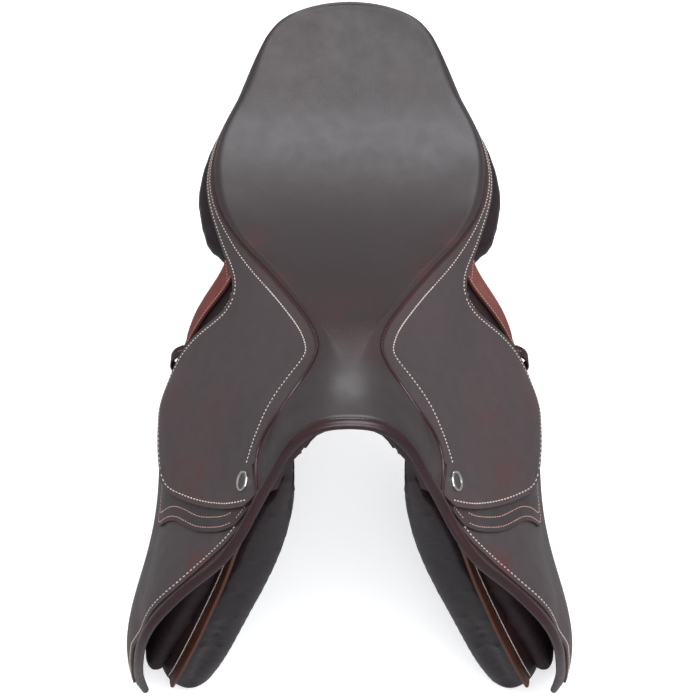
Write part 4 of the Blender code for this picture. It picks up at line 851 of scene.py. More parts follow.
piece = Piece("seat_webbing_straps")
for x0, x1, y0, y1 in ((-0.62, -0.14, -95, 150), (0.14, 0.62, -95, 150)):
    ys = np.linspace(y0, y1, 40)
    wx = np.interp(ys, [-95, -50, 0, 50, 100, 150], [30, 42, 62, 78, 84, 76])
    wz = MIDDLE(ys) - SEAT_T - 1 - FOAM_T - 2.2
    g = np.array([[(x * (x0 + (x1 - x0) * f), y, z - 1.5 * (1 - (x0 + (x1 - x0) * f) ** 2)) for f in np.linspace(0, 1, 9)] for y, x, z in zip(ys, wx, wz)])
    slab(piece, g, grid_normals(g, (0, 0, 1)), 0.7, r=0.2)
for y0 in (-60, -5, 50, 105):
    ys = np.linspace(y0, y0 + 26, 8)
    wx = np.interp(ys, [-95, -50, 0, 50, 100, 150], [30, 42, 62, 78, 84, 76])
    wz = MIDDLE(ys) - SEAT_T - 1 - FOAM_T - 3.1
    g = np.array([[(x * f, y, z - 1.5 * (1 - f * f)) for f in np.linspace(-1, 1, 21)] for y, x, z in zip(ys, wx, wz)])
    slab(piece, g, grid_normals(g, (0, 0, 1)), 0.6, r=0.2)
web = piece.make([WEB])
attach(web, "saddle"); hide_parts("seat_webbing")

# ---------------------------------------------------------------- piping round the seat
pu = np.linspace(0, 1, 420)
line = seam_for(even_stations(420))
line = np.concatenate([(line * [-1, 1, 1])[:-1], line[::-1]])
line = line[np.concatenate([[True], np.linalg.norm(np.diff(line, axis=0), axis=1) > 0.2])]
for _ in range(8):
    line[1:-1] = 0.25 * line[:-2] + 0.5 * line[1:-1] + 0.25 * line[2:]
piece = Piece("seat_seam_piping")
tube(piece, line + [0, 0, 0.35], 1.5, sides=12, ridge=lambda a: 1 + 0.05 * np.cos(3 * a))
pipe = piece.make([PIPE_L])
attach(pipe, "saddle"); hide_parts("left_seat_piping", "right_seat_piping")

# ---------------------------------------------------------------- head
tt = np.linspace(0, 1, 2001)
ov = above(FRONT(tt))
T_RIGID = tt[np.nonzero(ov > 16.0)[0][-1]]
w = even(FRONT, 60, 0, T_RIGID)
welt_line = np.concatenate([(w * [-1, 1, 1])[:0:-1], w])
piece = Piece("head_rolled_welt")
tube(piece, welt_line, 4.6, sides=24, caps=False, tint=0.04)
welt = piece.make([ROLL_L])
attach(welt, "saddle"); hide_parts("head_welt")

fo = even(FRONT, 40, 0, 0.36)
mouth = even(along([(0, -198, 137.2), (12, -198, 136), (22, -199, 132), (30.5, -200.5, 124), (36.5, -202, 114), (42.5, -204, 102),
                    (50, -206.5, 88), (56.5, -210, 67)]), 40)
fo = even(FRONT, 40, 0, tt[np.nonzero(ov > 3.4)[0][-1]] * 0.985)
rows = []
for a, b in zip(fo, mouth):
    d = unit(b - a)
    a2 = a + d * 3.6
    f = np.linspace(0, 1, 7)[:, None]
    r_ = a2 * (1 - f) + b * f
    r_[:, 1] = np.interp(f[:, 0], [0, 1], [a[1] + 2.2, b[1]])
    rows.append(r_)
rows = np.array(rows)
rows = np.concatenate([(rows * [-1, 1, 1])[:0:-1], rows])
piece = Piece("head_facing_leather")
slab(piece, rows, grid_normals(rows, (0, -1, 0)), 2.0, r=0.4)
facing = piece.make([DARK_L])
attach(facing, "saddle"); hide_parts("head_facing")

# cantle back between seat and panels
end = SEAM(1.0)[0]
cb = []
for a in np.linspace(-math.pi / 2, math.pi / 2, 61):
    x, y = end[0] * math.sin(a), end[1] + (212 - end[1]) * math.cos(a)
    zt = end[2] + 4 * math.cos(a) - 1.0
    cb.append([(x * (1 - 0.04 * f), y - 5 * f + 1.2 * math.sin(f * math.pi), zt - 31 * f * (0.55 + 0.45 * math.cos(a))) for f in np.linspace(0, 1, 12)])
cb = np.array(cb)
cn2 = grid_normals(cb, (0, 1, 0))
cn2 = unit(cb * [1, 1, 0] - [0, 120, 0])
piece = Piece("cantle_back_leather")
st_lines = [cb[:, 1] + 0, cb[:, 9] + 0]
for s_ in st_lines:
    cb = groove(cb, cn2, s_)
slab(piece, cb, cn2, 2.2, r=0.5)
for s_ in st_lines:
    stitches(piece, s_, unit(s_ * [1, 1, 0] - [0, 120, 0]), pitch=3.6, length=2.5, r=0.32)
back = piece.make([SKIRT_L, THREAD])
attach(back, "saddle"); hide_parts("rear_facing")

# ---------------------------------------------------------------- yoke and skirt
SKIRT_ROW = 4.7
ys_y = np.concatenate([np.linspace(-184, -150, 26)[:-1], np.linspace(-150, -20, 60)[:-1], np.linspace(-20, 12, 26)[:-1], np.linspace(12, 196, 74)])
y_top = np.array([clear_of_seam(y, 0.9) for y in ys_y])
yoke_edge = YOKE_EDGE(np.linspace(0, 1, 300))
y_low = []
for y, zt in zip(ys_y, y_top):
    z = hinge_height(y) if y < 3.0 else float(np.interp(y, yoke_edge[:, 0], yoke_edge[:, 1]))
    y_low.append(min(z, zt - 1.6))
y_low = np.array(y_low)
f = np.concatenate([[0, 0.02], np.linspace(0.07, 0.93, 16), [0.98, 1.0]])
yoke = np.stack([np.repeat(ys_y[:, None], len(f), 1), y_top[:, None] * (1 - f) + y_low[:, None] * f], -1)

ys_s = np.concatenate([np.linspace(-212, -196, 16)[:-1], np.linspace(-196, -62, 66)[:-1], np.linspace(-62, -30, 26)[:-1], np.linspace(-30, -6, 72)[:-1], np.linspace(-6, 3.0, 12)])
s_top = np.array([hinge_height(y) for y in ys_s])
sk_edge = SKIRT_EDGE(np.linspace(0, 1, 400))
s_low = np.array([min(float(np.interp(y, sk_edge[:, 0], sk_edge[:, 1])), zt - 3) for y, zt in zip(ys_s, s_top)])
f2 = np.concatenate([[0, 0.006, 0.02], np.linspace(0.045, 0.97, 50), [0.99, 1.0]])
skirt = np.stack([np.repeat(ys_s[:, None], len(f2), 1), s_top[:, None] * (1 - f2) + s_low[:, None] * f2], -1)

# stitch rows of the skirt and yoke
outline = np.concatenate([SKIRT_EDGE(np.linspace(0.0, 1, 260)), YOKE_EDGE(np.linspace(0.0, 1, 200))])
for _ in range(14):
    outline[1:-1] = 0.25 * outline[:-2] + 0.5 * outline[1:-1] + 0.25 * outline[2:]
edge_p, edge_n, edge_yz = row_on(OUTER, outline, SKIRT_ROW)
if edge_yz[200, 1] < outline[200, 1]:
    edge_p, edge_n, edge_yz = row_on(OUTER, outline, -SKIRT_ROW)
INNER_ROW = along([(186, 99), (155, 92.5), (130, 87), (98, 80.5), (73, 76.5), (52, 74), (24, 73.5), (-2, 76.5), (-26, 81.5), (-48.5, 87.4), (-72, 94.6),
                   (-92, 100.5), (-105.5, 103.2), (-119.6, 100.7), (-131.8, 96.8), (-146, 89.6), (-159, 76.4), (-167.3, 63), (-177.5, 51)])
row = INNER_ROW(np.linspace(0, 1, 400))
in_p, in_n, in_yz = row_on(OUTER, row, 0.0)


def stand_off(yz):
    """How far the skirt's lower rear edge stands out from the flap under it."""
    y, z = yz[..., 0], yz[..., 1]
    return -4.2 * ramp(-z, 0, 38) * ramp(-y, 28, 66) * (1 - ramp(-y, 118, 158))


def side_grid(yz):
    return OUTER.point(yz[..., 0], yz[..., 1], stand_off(yz)), OUTER.normal(yz[..., 0], yz[..., 1])


def red(g, spots):
    """Crimson tint in soft spots (y, z, reach) of a side grid."""
    out = np.zeros(g.shape[:2])
    for y, z, reach, amount in spots:
        out = np.maximum(out, amount * np.exp(-(((g[..., 1] - y) ** 2 + (g[..., 2] - z) ** 2) / reach ** 2)))
    return out


yg, yn = side_grid(yoke)
sg, sn = side_grid(skirt)
edge_p = OUTER.point(edge_yz[:, 0], edge_yz[:, 1], stand_off(edge_yz))
yt = np.exp(-(distance_to(yg, seam_pts) / 4.5) ** 2) * 0.30
stint = red(sg, [(-150, -20, 28, 0.35), (-60, -30, 30, 0.30), (-110, 20, 24, 0.25), (-195, 15, 16, 0.25)])
for line_ in (edge_p, in_p):
    yg, sg = groove(yg, yn, line_, 0.3), groove(sg, sn, line_, 0.3)


def split(points, normals, low, high):
    """The parts of a polyline whose height over the hinge plane lies between low and high."""
    h = above(points)
    keep = (h >= low) & (h < high)
    runs, start = [], None
    for i, ok in enumerate(keep):
        if ok and start is None:
            start = i
        if (not ok or i == len(keep) - 1) and start is not None:
            if i - start > 3:
                runs.append((points[start:i + (1 if ok else 0)], normals[start:i + (1 if ok else 0)]))
            start = None
    return runs


is_yoke = edge_yz[:, 0] > 3.0
for side, tag in LEFT_RIGHT:
    piece = Piece(f"{tag}_yoke_leather")
    slab(piece, yg, yn, SKIRT_T, r=0.45, flush=("j0", "j1"), tint=yt)
    low_free = ys_y > 3.0
    for p_, n_ in split(in_p, in_n, 0.0, 1e9):
        for run, size_ in ((p_[:, 1] >= -14, 1.9), ((p_[:, 1] < -12) & (p_[:, 1] > -76), 2.9), (p_[:, 1] <= -75, 2.1)):
            if run.sum() > 4:
                stitches(piece, p_[run], n_[run], pitch=3.45, length=size_ * 1.1, r=0.49)
    for p_, n_ in split(edge_p[is_yoke], edge_n[is_yoke], -1e9, 1e9) + split(edge_p[~is_yoke], edge_n[~is_yoke], 0.0, 1e9):
        stitches(piece, p_, n_, pitch=3.45, length=2.2, r=0.49)
    obj = piece.make([SKIRT_L, THREAD], side)
    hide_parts(f"{tag}_skirt_yoke")
    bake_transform(obj)

    piece = Piece(f"{tag}_skirt_leather")
    slab(piece, sg, sn, SKIRT_T, r=0.5, flush=("j0",), tint=stint)
    for p_, n_ in split(in_p, in_n, -1e9, 0.0):
        stitches(piece, p_, n_, pitch=3.45, length=2.2, r=0.49)
    for p_, n_ in split(edge_p[~is_yoke], edge_n[~is_yoke], -1e9, 0.0):
        for run, pitch_, size_ in ((p_[:, 1] < -118, 5.4, 3.0), ((p_[:, 1] >= -120) & (p_[:, 1] < -84), 4.6, 2.6), (p_[:, 1] >= -86, 3.7, 2.0)):
            if run.sum() > 4:
                stitches(piece, p_[run], n_[run], pitch=pitch_, length=size_ * 1.1, r=0.49)
    obj = piece.make([SKIRT_L, THREAD], side)
    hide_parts(f"{tag}_skirt")
    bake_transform(obj)

# ---------------------------------------------------------------- oval nail plates: a domed rim round a sunk field
c, nn = OUTER.point(-190.0, 44.0, -GAP), OUTER.normal(-190.0, 44.0)
upv = np.array([0, 0.69, 0.72]) - nn * (nn @ np.array([0, 0.69, 0.72]))
upv = unit(upv)
rt = np.cross(nn, upv)
prof = [(0.0, 0.5), (0.30, 0.5), (0.60, 0.45), (0.70, 0.5), (0.735, 0.8), (0.78, 1.35), (0.85, 1.75), (0.92, 1.6), (0.97, 1.15), (1.0, 0.5), (1.0, 0.0), (0.6, -0.35), (0.0, -0.35)]
ang = np.linspace(0, 2 * math.pi, 48, endpoint=False)
rings = []
for q, h in prof:
    q = max(q, 0.01)
    rings.append([c + nn * h + rt * 9.6 * q * math.cos(a) + upv * 8.8 * q * math.sin(a) for a in ang])
rings = np.array(rings)
for side, tag in LEFT_RIGHT:
    piece = Piece(f"{tag}_nail_plate")
    piece.add(rings, quads(len(prof), 48, wrap=True) + [tuple(range(48)), tuple((len(prof) - 1) * 48 + j for j in range(48))])
    obj = piece.make([STEEL, DARK_STEEL], side, angle=70)
    for poly in obj.data.polygons:
        far = max((obj.data.vertices[i].co * 1000 - Vector((c * [side, 1, 1]).tolist())).length for i in poly.vertices)
        # the sunk field inside the rim takes the darker steel
        poly.material_index = 1 if far < 6.9 else 0
    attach(obj, f"{tag}_skirt"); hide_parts(f"{tag}_skirt_plaque")

# ---------------------------------------------------------------- flap, band, roll
ys = np.linspace(-207, -31, 40)
ftop = [(y, cut_height(y, [FLAP_OUT, FLAP_OUT + FLAP_T], -0.6)) for y in ys]
t_roll = tt[np.nonzero(ov < -3.6)[0][0]]
fr = FRONT(np.linspace(t_roll, 1, 80))
LIP = Spline([0, 0.08, 0.18, 0.35, 0.55, 0.8, 1.0], [7.0, 11.0, 15.0, 16.0, 15.0, 12.0, 6.5])


def flap_depth(z):
    """Depth of the flap's outer face: it comes out to the surface below the skirt and the band."""
    return FLAP_OUT - 6.4 * ramp(-z, 112, 160)


lip = LIP(np.linspace(0, 1, 80))
front = [tuple(ftop[0])] + [(p[1] + q, p[2]) for p, q in zip(fr[4:], lip[4:])]
front[-1] = FLAP_LOW[0]
rear = [tuple(ftop[-1])] + FLAP_REAR[1:]


def dense(n, fine=0.004):
    return np.concatenate([[0, fine], np.linspace(fine * 3, 1 - fine * 3, n), [1 - fine, 1]])


def coons_at(top, bottom, front, rear, s, t):
    """Grid of (y, z) inside four edges at the given shares along and across."""
    def at(curve, share):
        c_ = along(curve)
        q = np.linspace(0, 1, 1500)
        p = c_(q)
        d = np.concatenate([[0], np.cumsum(np.linalg.norm(np.diff(p, axis=0), axis=1))])
        return c_(np.interp(share * d[-1], d, q))
    s_, t_ = s[:, None, None], t[None, :, None]
    tt_, bb_, ff_, rr_ = at(top, s)[:, None], at(bottom, s)[:, None], at(front, t)[None], at(rear, t)[None]
    flat = (1 - s_) * (1 - t_) * tt_[0] + s_ * (1 - t_) * tt_[-1] + (1 - s_) * t_ * bb_[0] + s_ * t_ * bb_[-1]
    return (1 - t_) * tt_ + t_ * bb_ + (1 - s_) * ff_ + s_ * rr_ - flat


yz = coons_at(ftop, FLAP_LOW, front, rear, dense(84), dense(120, 0.003))
fg, fn = OUTER.point(yz[..., 0], yz[..., 1], flap_depth(yz[..., 1])), OUTER.normal(yz[..., 0], yz[..., 1])
lip_line = np.array(front[6:])
flap_p, flap_n, flap_yz = row_on(OUTER, lip_line, 5.4, flap_depth(lip_line[:, 1]))
if flap_yz[30, 0] < lip_line[30, 0]:
    flap_p, flap_n, flap_yz = row_on(OUTER, lip_line, -5.4, flap_depth(lip_line[:, 1]))
rear_line = np.array(along(rear)(np.linspace(0.05, 0.97, 160)))
rear_p, rear_n, rear_yz = row_on(OUTER, rear_line, 6.0, flap_depth(rear_line[:, 1]))
if rear_yz[60, 0] > rear_line[60, 0]:
    rear_p, rear_n, rear_yz = row_on(OUTER, rear_line, -6.0, flap_depth(rear_line[:, 1]))
low_line = np.array(along(FLAP_LOW)(np.linspace(0.04, 0.97, 200)))
low_p, low_n, low_yz = row_on(OUTER, low_line, 6.0, flap_depth(low_line[:, 1]))
if low_yz[60, 1] < low_line[60, 1]:
    low_p, low_n, low_yz = row_on(OUTER, low_line, -6.0, flap_depth(low_line[:, 1]))
for line_ in (flap_p, rear_p, low_p):
    fg = groove(fg, fn, line_, 0.3)
ftint = red(fg, [(-225, -30, 14, 0.7), (-232, -120, 22, 0.25), (-215, -230, 30, 0.25)])

bt = [(-213, 50), (-198, 20), (-181, -6), (-163, -26), (-146, -40), (-124, -50), (-95, -45), (-68, -38)]
bl = [(-219, 24), (-215, 8), (-205.5, -13), (-195, -31), (-183, -44.5), (-170, -59), (-162, -76), (-151, -104), (-115, -118), (-58, -98)]
byz = coons_at(bt, bl, [bt[0], bl[0]], [bt[-1], bl[-1]], dense(70), dense(20, 0.02))
bg, bn = OUTER.point(byz[..., 0], byz[..., 1], BAND_OUT), OUTER.normal(byz[..., 0], byz[..., 1])
bl_line = np.array(along(bl)(np.linspace(0.03, 1, 200)))


def inside(line_, dist, depth, up=True):
    p_, n_, q_ = row_on(OUTER, line_, dist, depth)
    k_ = len(q_) // 2
    if (q_[k_, 1] < line_[k_, 1]) == up:
        p_, n_, q_ = row_on(OUTER, line_, -dist, depth)
    return p_, n_, q_


b1 = inside(bl_line, 4.0, BAND_OUT)
b2 = inside(bl_line, 12.8, BAND_OUT)
bf = np.array([np.array(bt[0]) * (1 - q) + np.array(bl[0]) * q for q in np.linspace(0, 1, 30)])
b3 = row_on(OUTER, bf[12:] + [5.0, 1.0], 0.0, BAND_OUT)
for line_ in (b1[0], b2[0], b3[0]):
    bg = groove(bg, bn, line_, 0.3)

# roll with the strip that binds it to the flap
front_pts = even(FRONT, 200, T_RIGID, 1.0)
rad = np.full(200, ROLL_R)
h_ = above(front_pts)
rad = np.where(h_ > 0, 4.6, np.interp(-h_, [0, 12], [4.6, ROLL_R]))
rad[-26:] *= np.linspace(1, 0.78, 26) ** 1.0
bs = even(FRONT, 120, t_roll + 0.004, 0.985)
lip_s = LIP(np.linspace(0, 1, 120))
strip = []
for p_, q_ in zip(bs, lip_s):
    row_ = []
    for k_ in np.linspace(0, 1, 8):
        y_, z_ = p_[1] + 1.5 + (q_ + 3.0) * k_, p_[2]
        row_.append(OUTER.point(y_, z_, 2.0 + (float(flap_depth(z_)) + 1.0 - 2.0) * k_ ** 0.7 + 0.9 * k_))
    strip.append(row_)
strip = np.array(strip)
strip_n = grid_normals(strip, (0.8, -0.4, 0.3))

corners = [world(s, u, d) for s, u, d in ((51, 4, 2.6), (133, 4, 2.6), (133, -36, 2.6), (51, -36, 2.6))]
for side, tag in LEFT_RIGHT:
    piece = Piece(f"{tag}_flap_leather")
    slab(piece, fg, fn, FLAP_T, r=0.7, tint=ftint)
    obj = piece.make([SKIRT_L, THREAD], side)
    cut = bmesh.new()
    ring = [[cut.verts.new(metres((p_ + INWARD * d) * [side, 1, 1])) for p_ in corners] for d in (0, 24)]
    cut.faces.new(ring[0]); cut.faces.new(ring[1])
    for j in range(4):
        cut.faces.new((ring[0][j], ring[0][(j + 1) % 4], ring[1][(j + 1) % 4], ring[1][j]))
    bmesh.ops.recalc_face_normals(cut, faces=cut.faces)
    mesh = bpy.data.meshes.new("notch")
    cut.to_mesh(mesh); cut.free()
    cutter = bpy.data.objects.new("notch", mesh)
    bpy.context.scene.collection.objects.link(cutter)
    mod = obj.modifiers.new("notch", "BOOLEAN"); mod.operation = "DIFFERENCE"; mod.solver = "EXACT"; mod.object = cutter
    bpy.context.view_layer.update()
    done = bpy.data.meshes.new_from_object(obj.evaluated_get(bpy.context.evaluated_depsgraph_get()))
    obj.modifiers.clear()
    obj.data = done
    bpy.data.objects.remove(cutter, do_unlink=True)
    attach(obj, f"{tag}_flap"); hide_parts(f"{tag}_flap")

    piece = Piece(f"{tag}_flap_stitching")
    stitches(piece, flap_p, flap_n, pitch=4.6, length=3.0, r=0.54, slot=0)
    stitches(piece, rear_p, rear_n, pitch=3.6, length=2.5, r=0.36, slot=0)
    stitches(piece, low_p, low_n, pitch=3.6, length=2.5, r=0.36, slot=0)
    obj = piece.make([THREAD], side)
    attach(obj, f"{tag}_flap")

    piece = Piece(f"{tag}_band_leather")
    slab(piece, bg, bn, BAND_T, r=0.45)
    for (p_, n_, _q), pitch_ in ((b1, 4.6), (b2, 4.6), (b3, 3.6)):
        stitches(piece, p_, n_, pitch=pitch_, length=pitch_ * 0.60, r=0.43)
    obj = piece.make([BAND_L, THREAD_P], side)
    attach(obj, f"{tag}_flap"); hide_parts(f"{tag}_flap_band")

    piece = Piece(f"{tag}_rolled_edge")
    tube(piece, front_pts, rad, sides=24, tint=0.04)
    slab(piece, strip, strip_n, 1.2, r=0.3, slot=1, edge_amount=0.0)
    obj = piece.make([ROLL_L, GROOVE_L], side)
    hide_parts(f"{tag}_flap_roll")
    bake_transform(obj)

# ---------------------------------------------------------------- sweat flap with russet edge
st = [(-215.5, -10), (-150, -12), (-100, -6), (-60, 0), (-20, 20), (0, 36), (40, 42), (58, 42)]
sl = [(-246, -240), (-222, -268), (-190, -290), (-130, -298), (-60, -294), (-10, -280)]
edge = along([(94, -222, 3), (102, -222, -35), (114, -229, -73), (132, -241, -123), (154, -248.5, -184), (169, -251.5, -222), (174, -251, -238)])
e = edge(np.linspace(0, 1, 40))
sf = [(-215.5, -10)] + [(y + 4.9, z) for _, y, z in e[1:]]
sf[-1] = sl[0]
sr = [st[-1], (50, 10), (38, -25), (30, -60), (22, -100), (15, -150), (12, -200), (4, -250), sl[-1]]
yz = coons_at(st, sl, sf, sr, dense(60), dense(60))
wg, wn = INNER.point(yz[..., 0], yz[..., 1], 0.0), INNER.normal(yz[..., 0], yz[..., 1])


def inner_row(line_, dist, toward):
    p_, n_, q_ = row_on(INNER, np.asarray(line_, float), dist, 0.0)
    k_ = len(q_) // 2
    if (q_[k_] - line_[k_]) @ np.asarray(toward, float) < 0:
        p_, n_, q_ = row_on(INNER, np.asarray(line_, float), -dist, 0.0)
    return p_, n_, q_


w1 = inner_row(np.array(sf[1:]), 3.2, (1, 0))
sr_line = np.array(along(sr)(np.linspace(0.02, 0.98, 200)))
w2 = inner_row(sr_line, 4.6, (-1, 0))
w3 = row_on(INNER, along([(24, 40), (17, 31.2), (10.5, 20.1), (3.1, 9.9), (-3, 2)])(np.linspace(0, 1, 80)), 0.0)
for line_ in (w1[0], w2[0]):
    wg = groove(wg, wn, line_, 0.3)
wtint = red(wg, [(-200, -170, 40, 0.5), (-215, -60, 30, 0.4)])
e2 = even(edge, 90)
ff = np.concatenate([[-1, -0.94], np.linspace(-0.84, 0.84, 9), [0.94, 1]])[None, :]
yy, zz = e2[:, 1:2] + 4.3 * ff, e2[:, 2:3] + 0 * ff
eg, en = INNER.point(yy, zz, 0.0), INNER.normal(yy, zz)
eg = eg + en * (0.45 * (1 - ff ** 2))[..., None]
for side, tag in LEFT_RIGHT:
    piece = Piece(f"{tag}_sweat_flap_leather")
    slab(piece, wg, wn, SWEAT_T, r=0.6, tint=wtint)
    stitches(piece, w1[0], w1[1], pitch=3.0, length=2.5, r=0.55)
    stitches(piece, w2[0], w2[1], pitch=3.3, length=2.3, r=0.34)
    stitches(piece, w3[0], w3[1], pitch=3.3, length=2.1, r=0.5)
    obj = piece.make([DARK_L, THREAD], side)
    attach(obj, "saddle"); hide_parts(f"{tag}_sweat_flap")
    piece = Piece(f"{tag}_russet_edge_strip")
    slab(piece, eg, en, SWEAT_T, r=0.5)
    obj = piece.make([STRIP_L], side)
    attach(obj, "saddle"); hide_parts(f"{tag}_sweat_edge_strip")

# ---------------------------------------------------------------- panels
z_top = Spline([-215, -198, -190, -160, -130, -95, -60, 0, 50, 100, 140, 170, 200, 222], [80, 76, 58, 50, 34, 32, 38, 42, 46, 52, 66, 84, 88, 82])
z_low = Spline([-215, -200, -150, -100, -60, -20, 20, 60, 120, 200, 225], [-318, -321, -306, -250, -155, -55, -6, 14, 22, 34, 58])
nose_y = along([(0, 60), (-5, -19), (-11, -73), (-17, -124), (-22, -181), (-27, -233), (-24, -300)])(np.linspace(0, 1, 200))
inner_f = ([-300, -283, -245, -190, -130, -81, -24, 7, 51, 88], [140, 133, 119, 101, 81, 64.5, 50.5, 47, 43.5, 41])
thick_r = Spline([-310, -250, -150, -73, 0, 56], [14, 16, 22, 28, 30, 20])
half_out = Spline([0, 10, 38, 65, 100, 121, 150, 180, 205, 222], [111, 116.5, 125, 133, 143, 146, 142.5, 129.5, 112, 88])


def panel_ring(y0, count=26):
    zt, zl = float(z_top(y0)[0]), float(z_low(y0)[0])
    fade = 1 - float(ramp(y0, -200, -110))
    z_side = zt + (zl - zt) * (0.5 - 0.5 * np.cos(np.linspace(0.11, 0.89, count) * math.pi))
    yy = y0 + fade * np.interp(-z_side, -nose_y[:, 1], nose_y[:, 0])
    out = INNER(yy, z_side) - (SWEAT_T + 1.8) / INNER.normal(yy, z_side)[..., 0]
    limit = OUTER(yy, z_side) - (20.8 - 10.0 * float(1 - ramp(y0, -200, -194))) / OUTER.normal(yy, z_side)[..., 0]
    out = np.where(z_side > -18, np.minimum(out, limit), out)
    s = float(ramp(y0, -215, -60))
    inn = np.minimum(np.interp(z_side, *inner_f), out - 11) * (1 - s) + (out - thick_r(z_side)) * s
    shrink = float(np.interp(y0, [-206.5, -205, -203, -201, -197.5, -194], [0.30, 0.55, 0.75, 0.86, 0.96, 1.0]))
    mid = (out + inn) / 2
    out, inn = mid + (out - mid) * shrink, mid + (inn - mid) * shrink
    flat = [((out[0] + inn[0]) / 2, yy[0], zt)] + list(zip(out, yy, z_side)) + [((out[-1] + inn[-1]) / 2, yy[-1], zl)]
    flat = np.array(flat + list(zip(inn[::-1], yy[::-1], z_side[::-1])))
    full = float(np.interp(y0, [190, 199, 205, 210, 214, 216.5, 218], [1, 0.97, 0.92, 0.82, 0.7, 0.56, 0.42]))
    xi, xo = 38.0 + (1 - full) * 14, float(half_out(y0)[0])
    xc, zc = (xi + xo) / 2, (zt + zl) / 2
    a = np.linspace(math.pi / 2, math.pi / 2 - 2 * math.pi, len(flat), endpoint=False)
    ca, sa = np.cos(a), np.sin(a)
    box = np.stack([xc + (xo - xi) / 2 * np.sign(ca) * np.abs(ca) ** 0.62 * (0.6 + 0.4 * full), np.full(len(a), float(y0)),
                    zc + (zt - zl) / 2 * np.sign(sa) * np.abs(sa) ** 0.62 * full], -1)
    mix = float(ramp(y0, -70, 45))
    ring = flat * (1 - mix) + box * mix
    most = INNER(ring[:, 1], ring[:, 2]) - (SWEAT_T + 2.0) / INNER.normal(ring[:, 1], ring[:, 2])[..., 0]
    ring[:, 0] = np.minimum(ring[:, 0], most + 40 * float(ramp(y0, 59, 74)))
    return ring


stations = np.concatenate([[-206.5, -205, -203, -201, -197.5], np.linspace(-194, 190, 110), [194, 198, 202, 205, 208, 210.5, 213, 215, 216.5, 217.6]])
rings = np.array([panel_ring(y) for y in stations])
for _ in range(3):
    a = rings.copy()
    rings[1:-1] = 0.5 * a[1:-1] + 0.25 * (a[:-2] + a[2:])
    rings = 0.5 * rings + 0.25 * (np.roll(rings, 1, 1) + np.roll(rings, -1, 1))


def closed_loft(piece, rings, slot=0, tint=0.0):
    n, m = rings.shape[:2]
    verts = np.concatenate([rings.reshape(-1, 3), rings[0].mean(0)[None], rings[-1].mean(0)[None]])
    faces = quads(n, m, wrap=True)
    faces += [(n * m, (j + 1) % m, j) for j in range(m)] + [(n * m + 1, (n - 1) * m + j, (n - 1) * m + (j + 1) % m) for j in range(m)]
    return piece.add(verts, faces, slot, 0.0, tint)


def puff(obj, voxel=0.005, pressure=4.0, cap=0.003, inset=0.0, frames=20):
    """Fills a pad: remeshes it, lets cloth under pressure swell it, keeps the outward part of the movement up to a limit."""
    scene = bpy.context.scene
    mod = obj.modifiers.new("remesh", "REMESH")
    mod.mode, mod.voxel_size, mod.use_smooth_shade = "VOXEL", voxel, True
    bpy.context.view_layer.update()
    base = bpy.data.meshes.new_from_object(obj.evaluated_get(bpy.context.evaluated_depsgraph_get()))
    obj.modifiers.clear()
    n = len(base.vertices)
    co, no = np.zeros(n * 3), np.zeros(n * 3)
    base.vertices.foreach_get("co", co)
    base.vertices.foreach_get("normal", no)
    start_co = co - no * inset
    base.vertices.foreach_set("co", start_co)
    base.update()
    obj.data = base
    scene.frame_set(1)
    cloth = obj.modifiers.new("cloth", "CLOTH")
    cloth.settings.use_pressure = True
    cloth.settings.uniform_pressure_force = pressure
    cloth.settings.effector_weights.gravity = 0.0
    cloth.settings.quality = 4
    cloth.settings.tension_stiffness = 25.0
    cloth.settings.compression_stiffness = 25.0
    cloth.point_cache.frame_start, cloth.point_cache.frame_end = 1, frames
    for number in range(1, frames + 1):
        scene.frame_set(number)
    moved = bpy.data.meshes.new_from_object(obj.evaluated_get(bpy.context.evaluated_depsgraph_get()))
    obj.modifiers.clear()
    end_co = np.zeros(n * 3)
    moved.vertices.foreach_get("co", end_co)
    bpy.data.meshes.remove(moved)
    step = (end_co - start_co).reshape(-1, 3)
    no = no.reshape(-1, 3)
    out = np.clip((step * no).sum(axis=1, keepdims=True), -0.2 * cap, cap)
    edges = np.zeros(len(base.edges) * 2, dtype=np.int32)
    base.edges.foreach_get("vertices", edges)
    edges = edges.reshape(-1, 2)
    count = np.maximum(np.bincount(edges.ravel(), minlength=n), 1)[:, None]

    def around(values):
        total = np.zeros_like(values)
        np.add.at(total, edges[:, 0], values[edges[:, 1]])
        np.add.at(total, edges[:, 1], values[edges[:, 0]])
        return total / count

    for _ in range(12):
        out = 0.5 * out + 0.5 * around(out)
    final = start_co.reshape(-1, 3) + no * out
    for _ in range(10):
        final = final + 0.5 * (around(final) - final)
        final = final - 0.53 * (around(final) - final)
    base.vertices.foreach_set("co", final.reshape(-1))
    base.update()
    base.shade_smooth()
    scene.frame_set(1)


def both_sides(make_piece, mats, name, node, cap):
    """Makes a pad for the left side, swells it, and mirrors it for the right side."""
    first = None
    for side, tag in LEFT_RIGHT:
        if first is None:
            obj = make_piece(f"{tag}_{name}").make(mats, 1, angle=80)
            puff(obj, cap=cap)
            first = obj
        else:
            mesh = first.data.copy()
            mesh.transform(Matrix.Scale(-1, 4, Vector((1, 0, 0))))
            mesh.flip_normals()
            obj = bpy.data.objects.new(f"{tag}_{name}", mesh)
            bpy.context.scene.collection.objects.link(obj)
        if not obj.data.materials:
            for m in mats:
                obj.data.materials.append(m)
        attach(obj, "saddle"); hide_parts(f"{tag}_{node}")
    for side, tag in LEFT_RIGHT:
        sub = bpy.data.objects[f"{tag}_{name}"].modifiers.new("smooth", "SUBSURF")
        sub.levels = sub.render_levels = 1


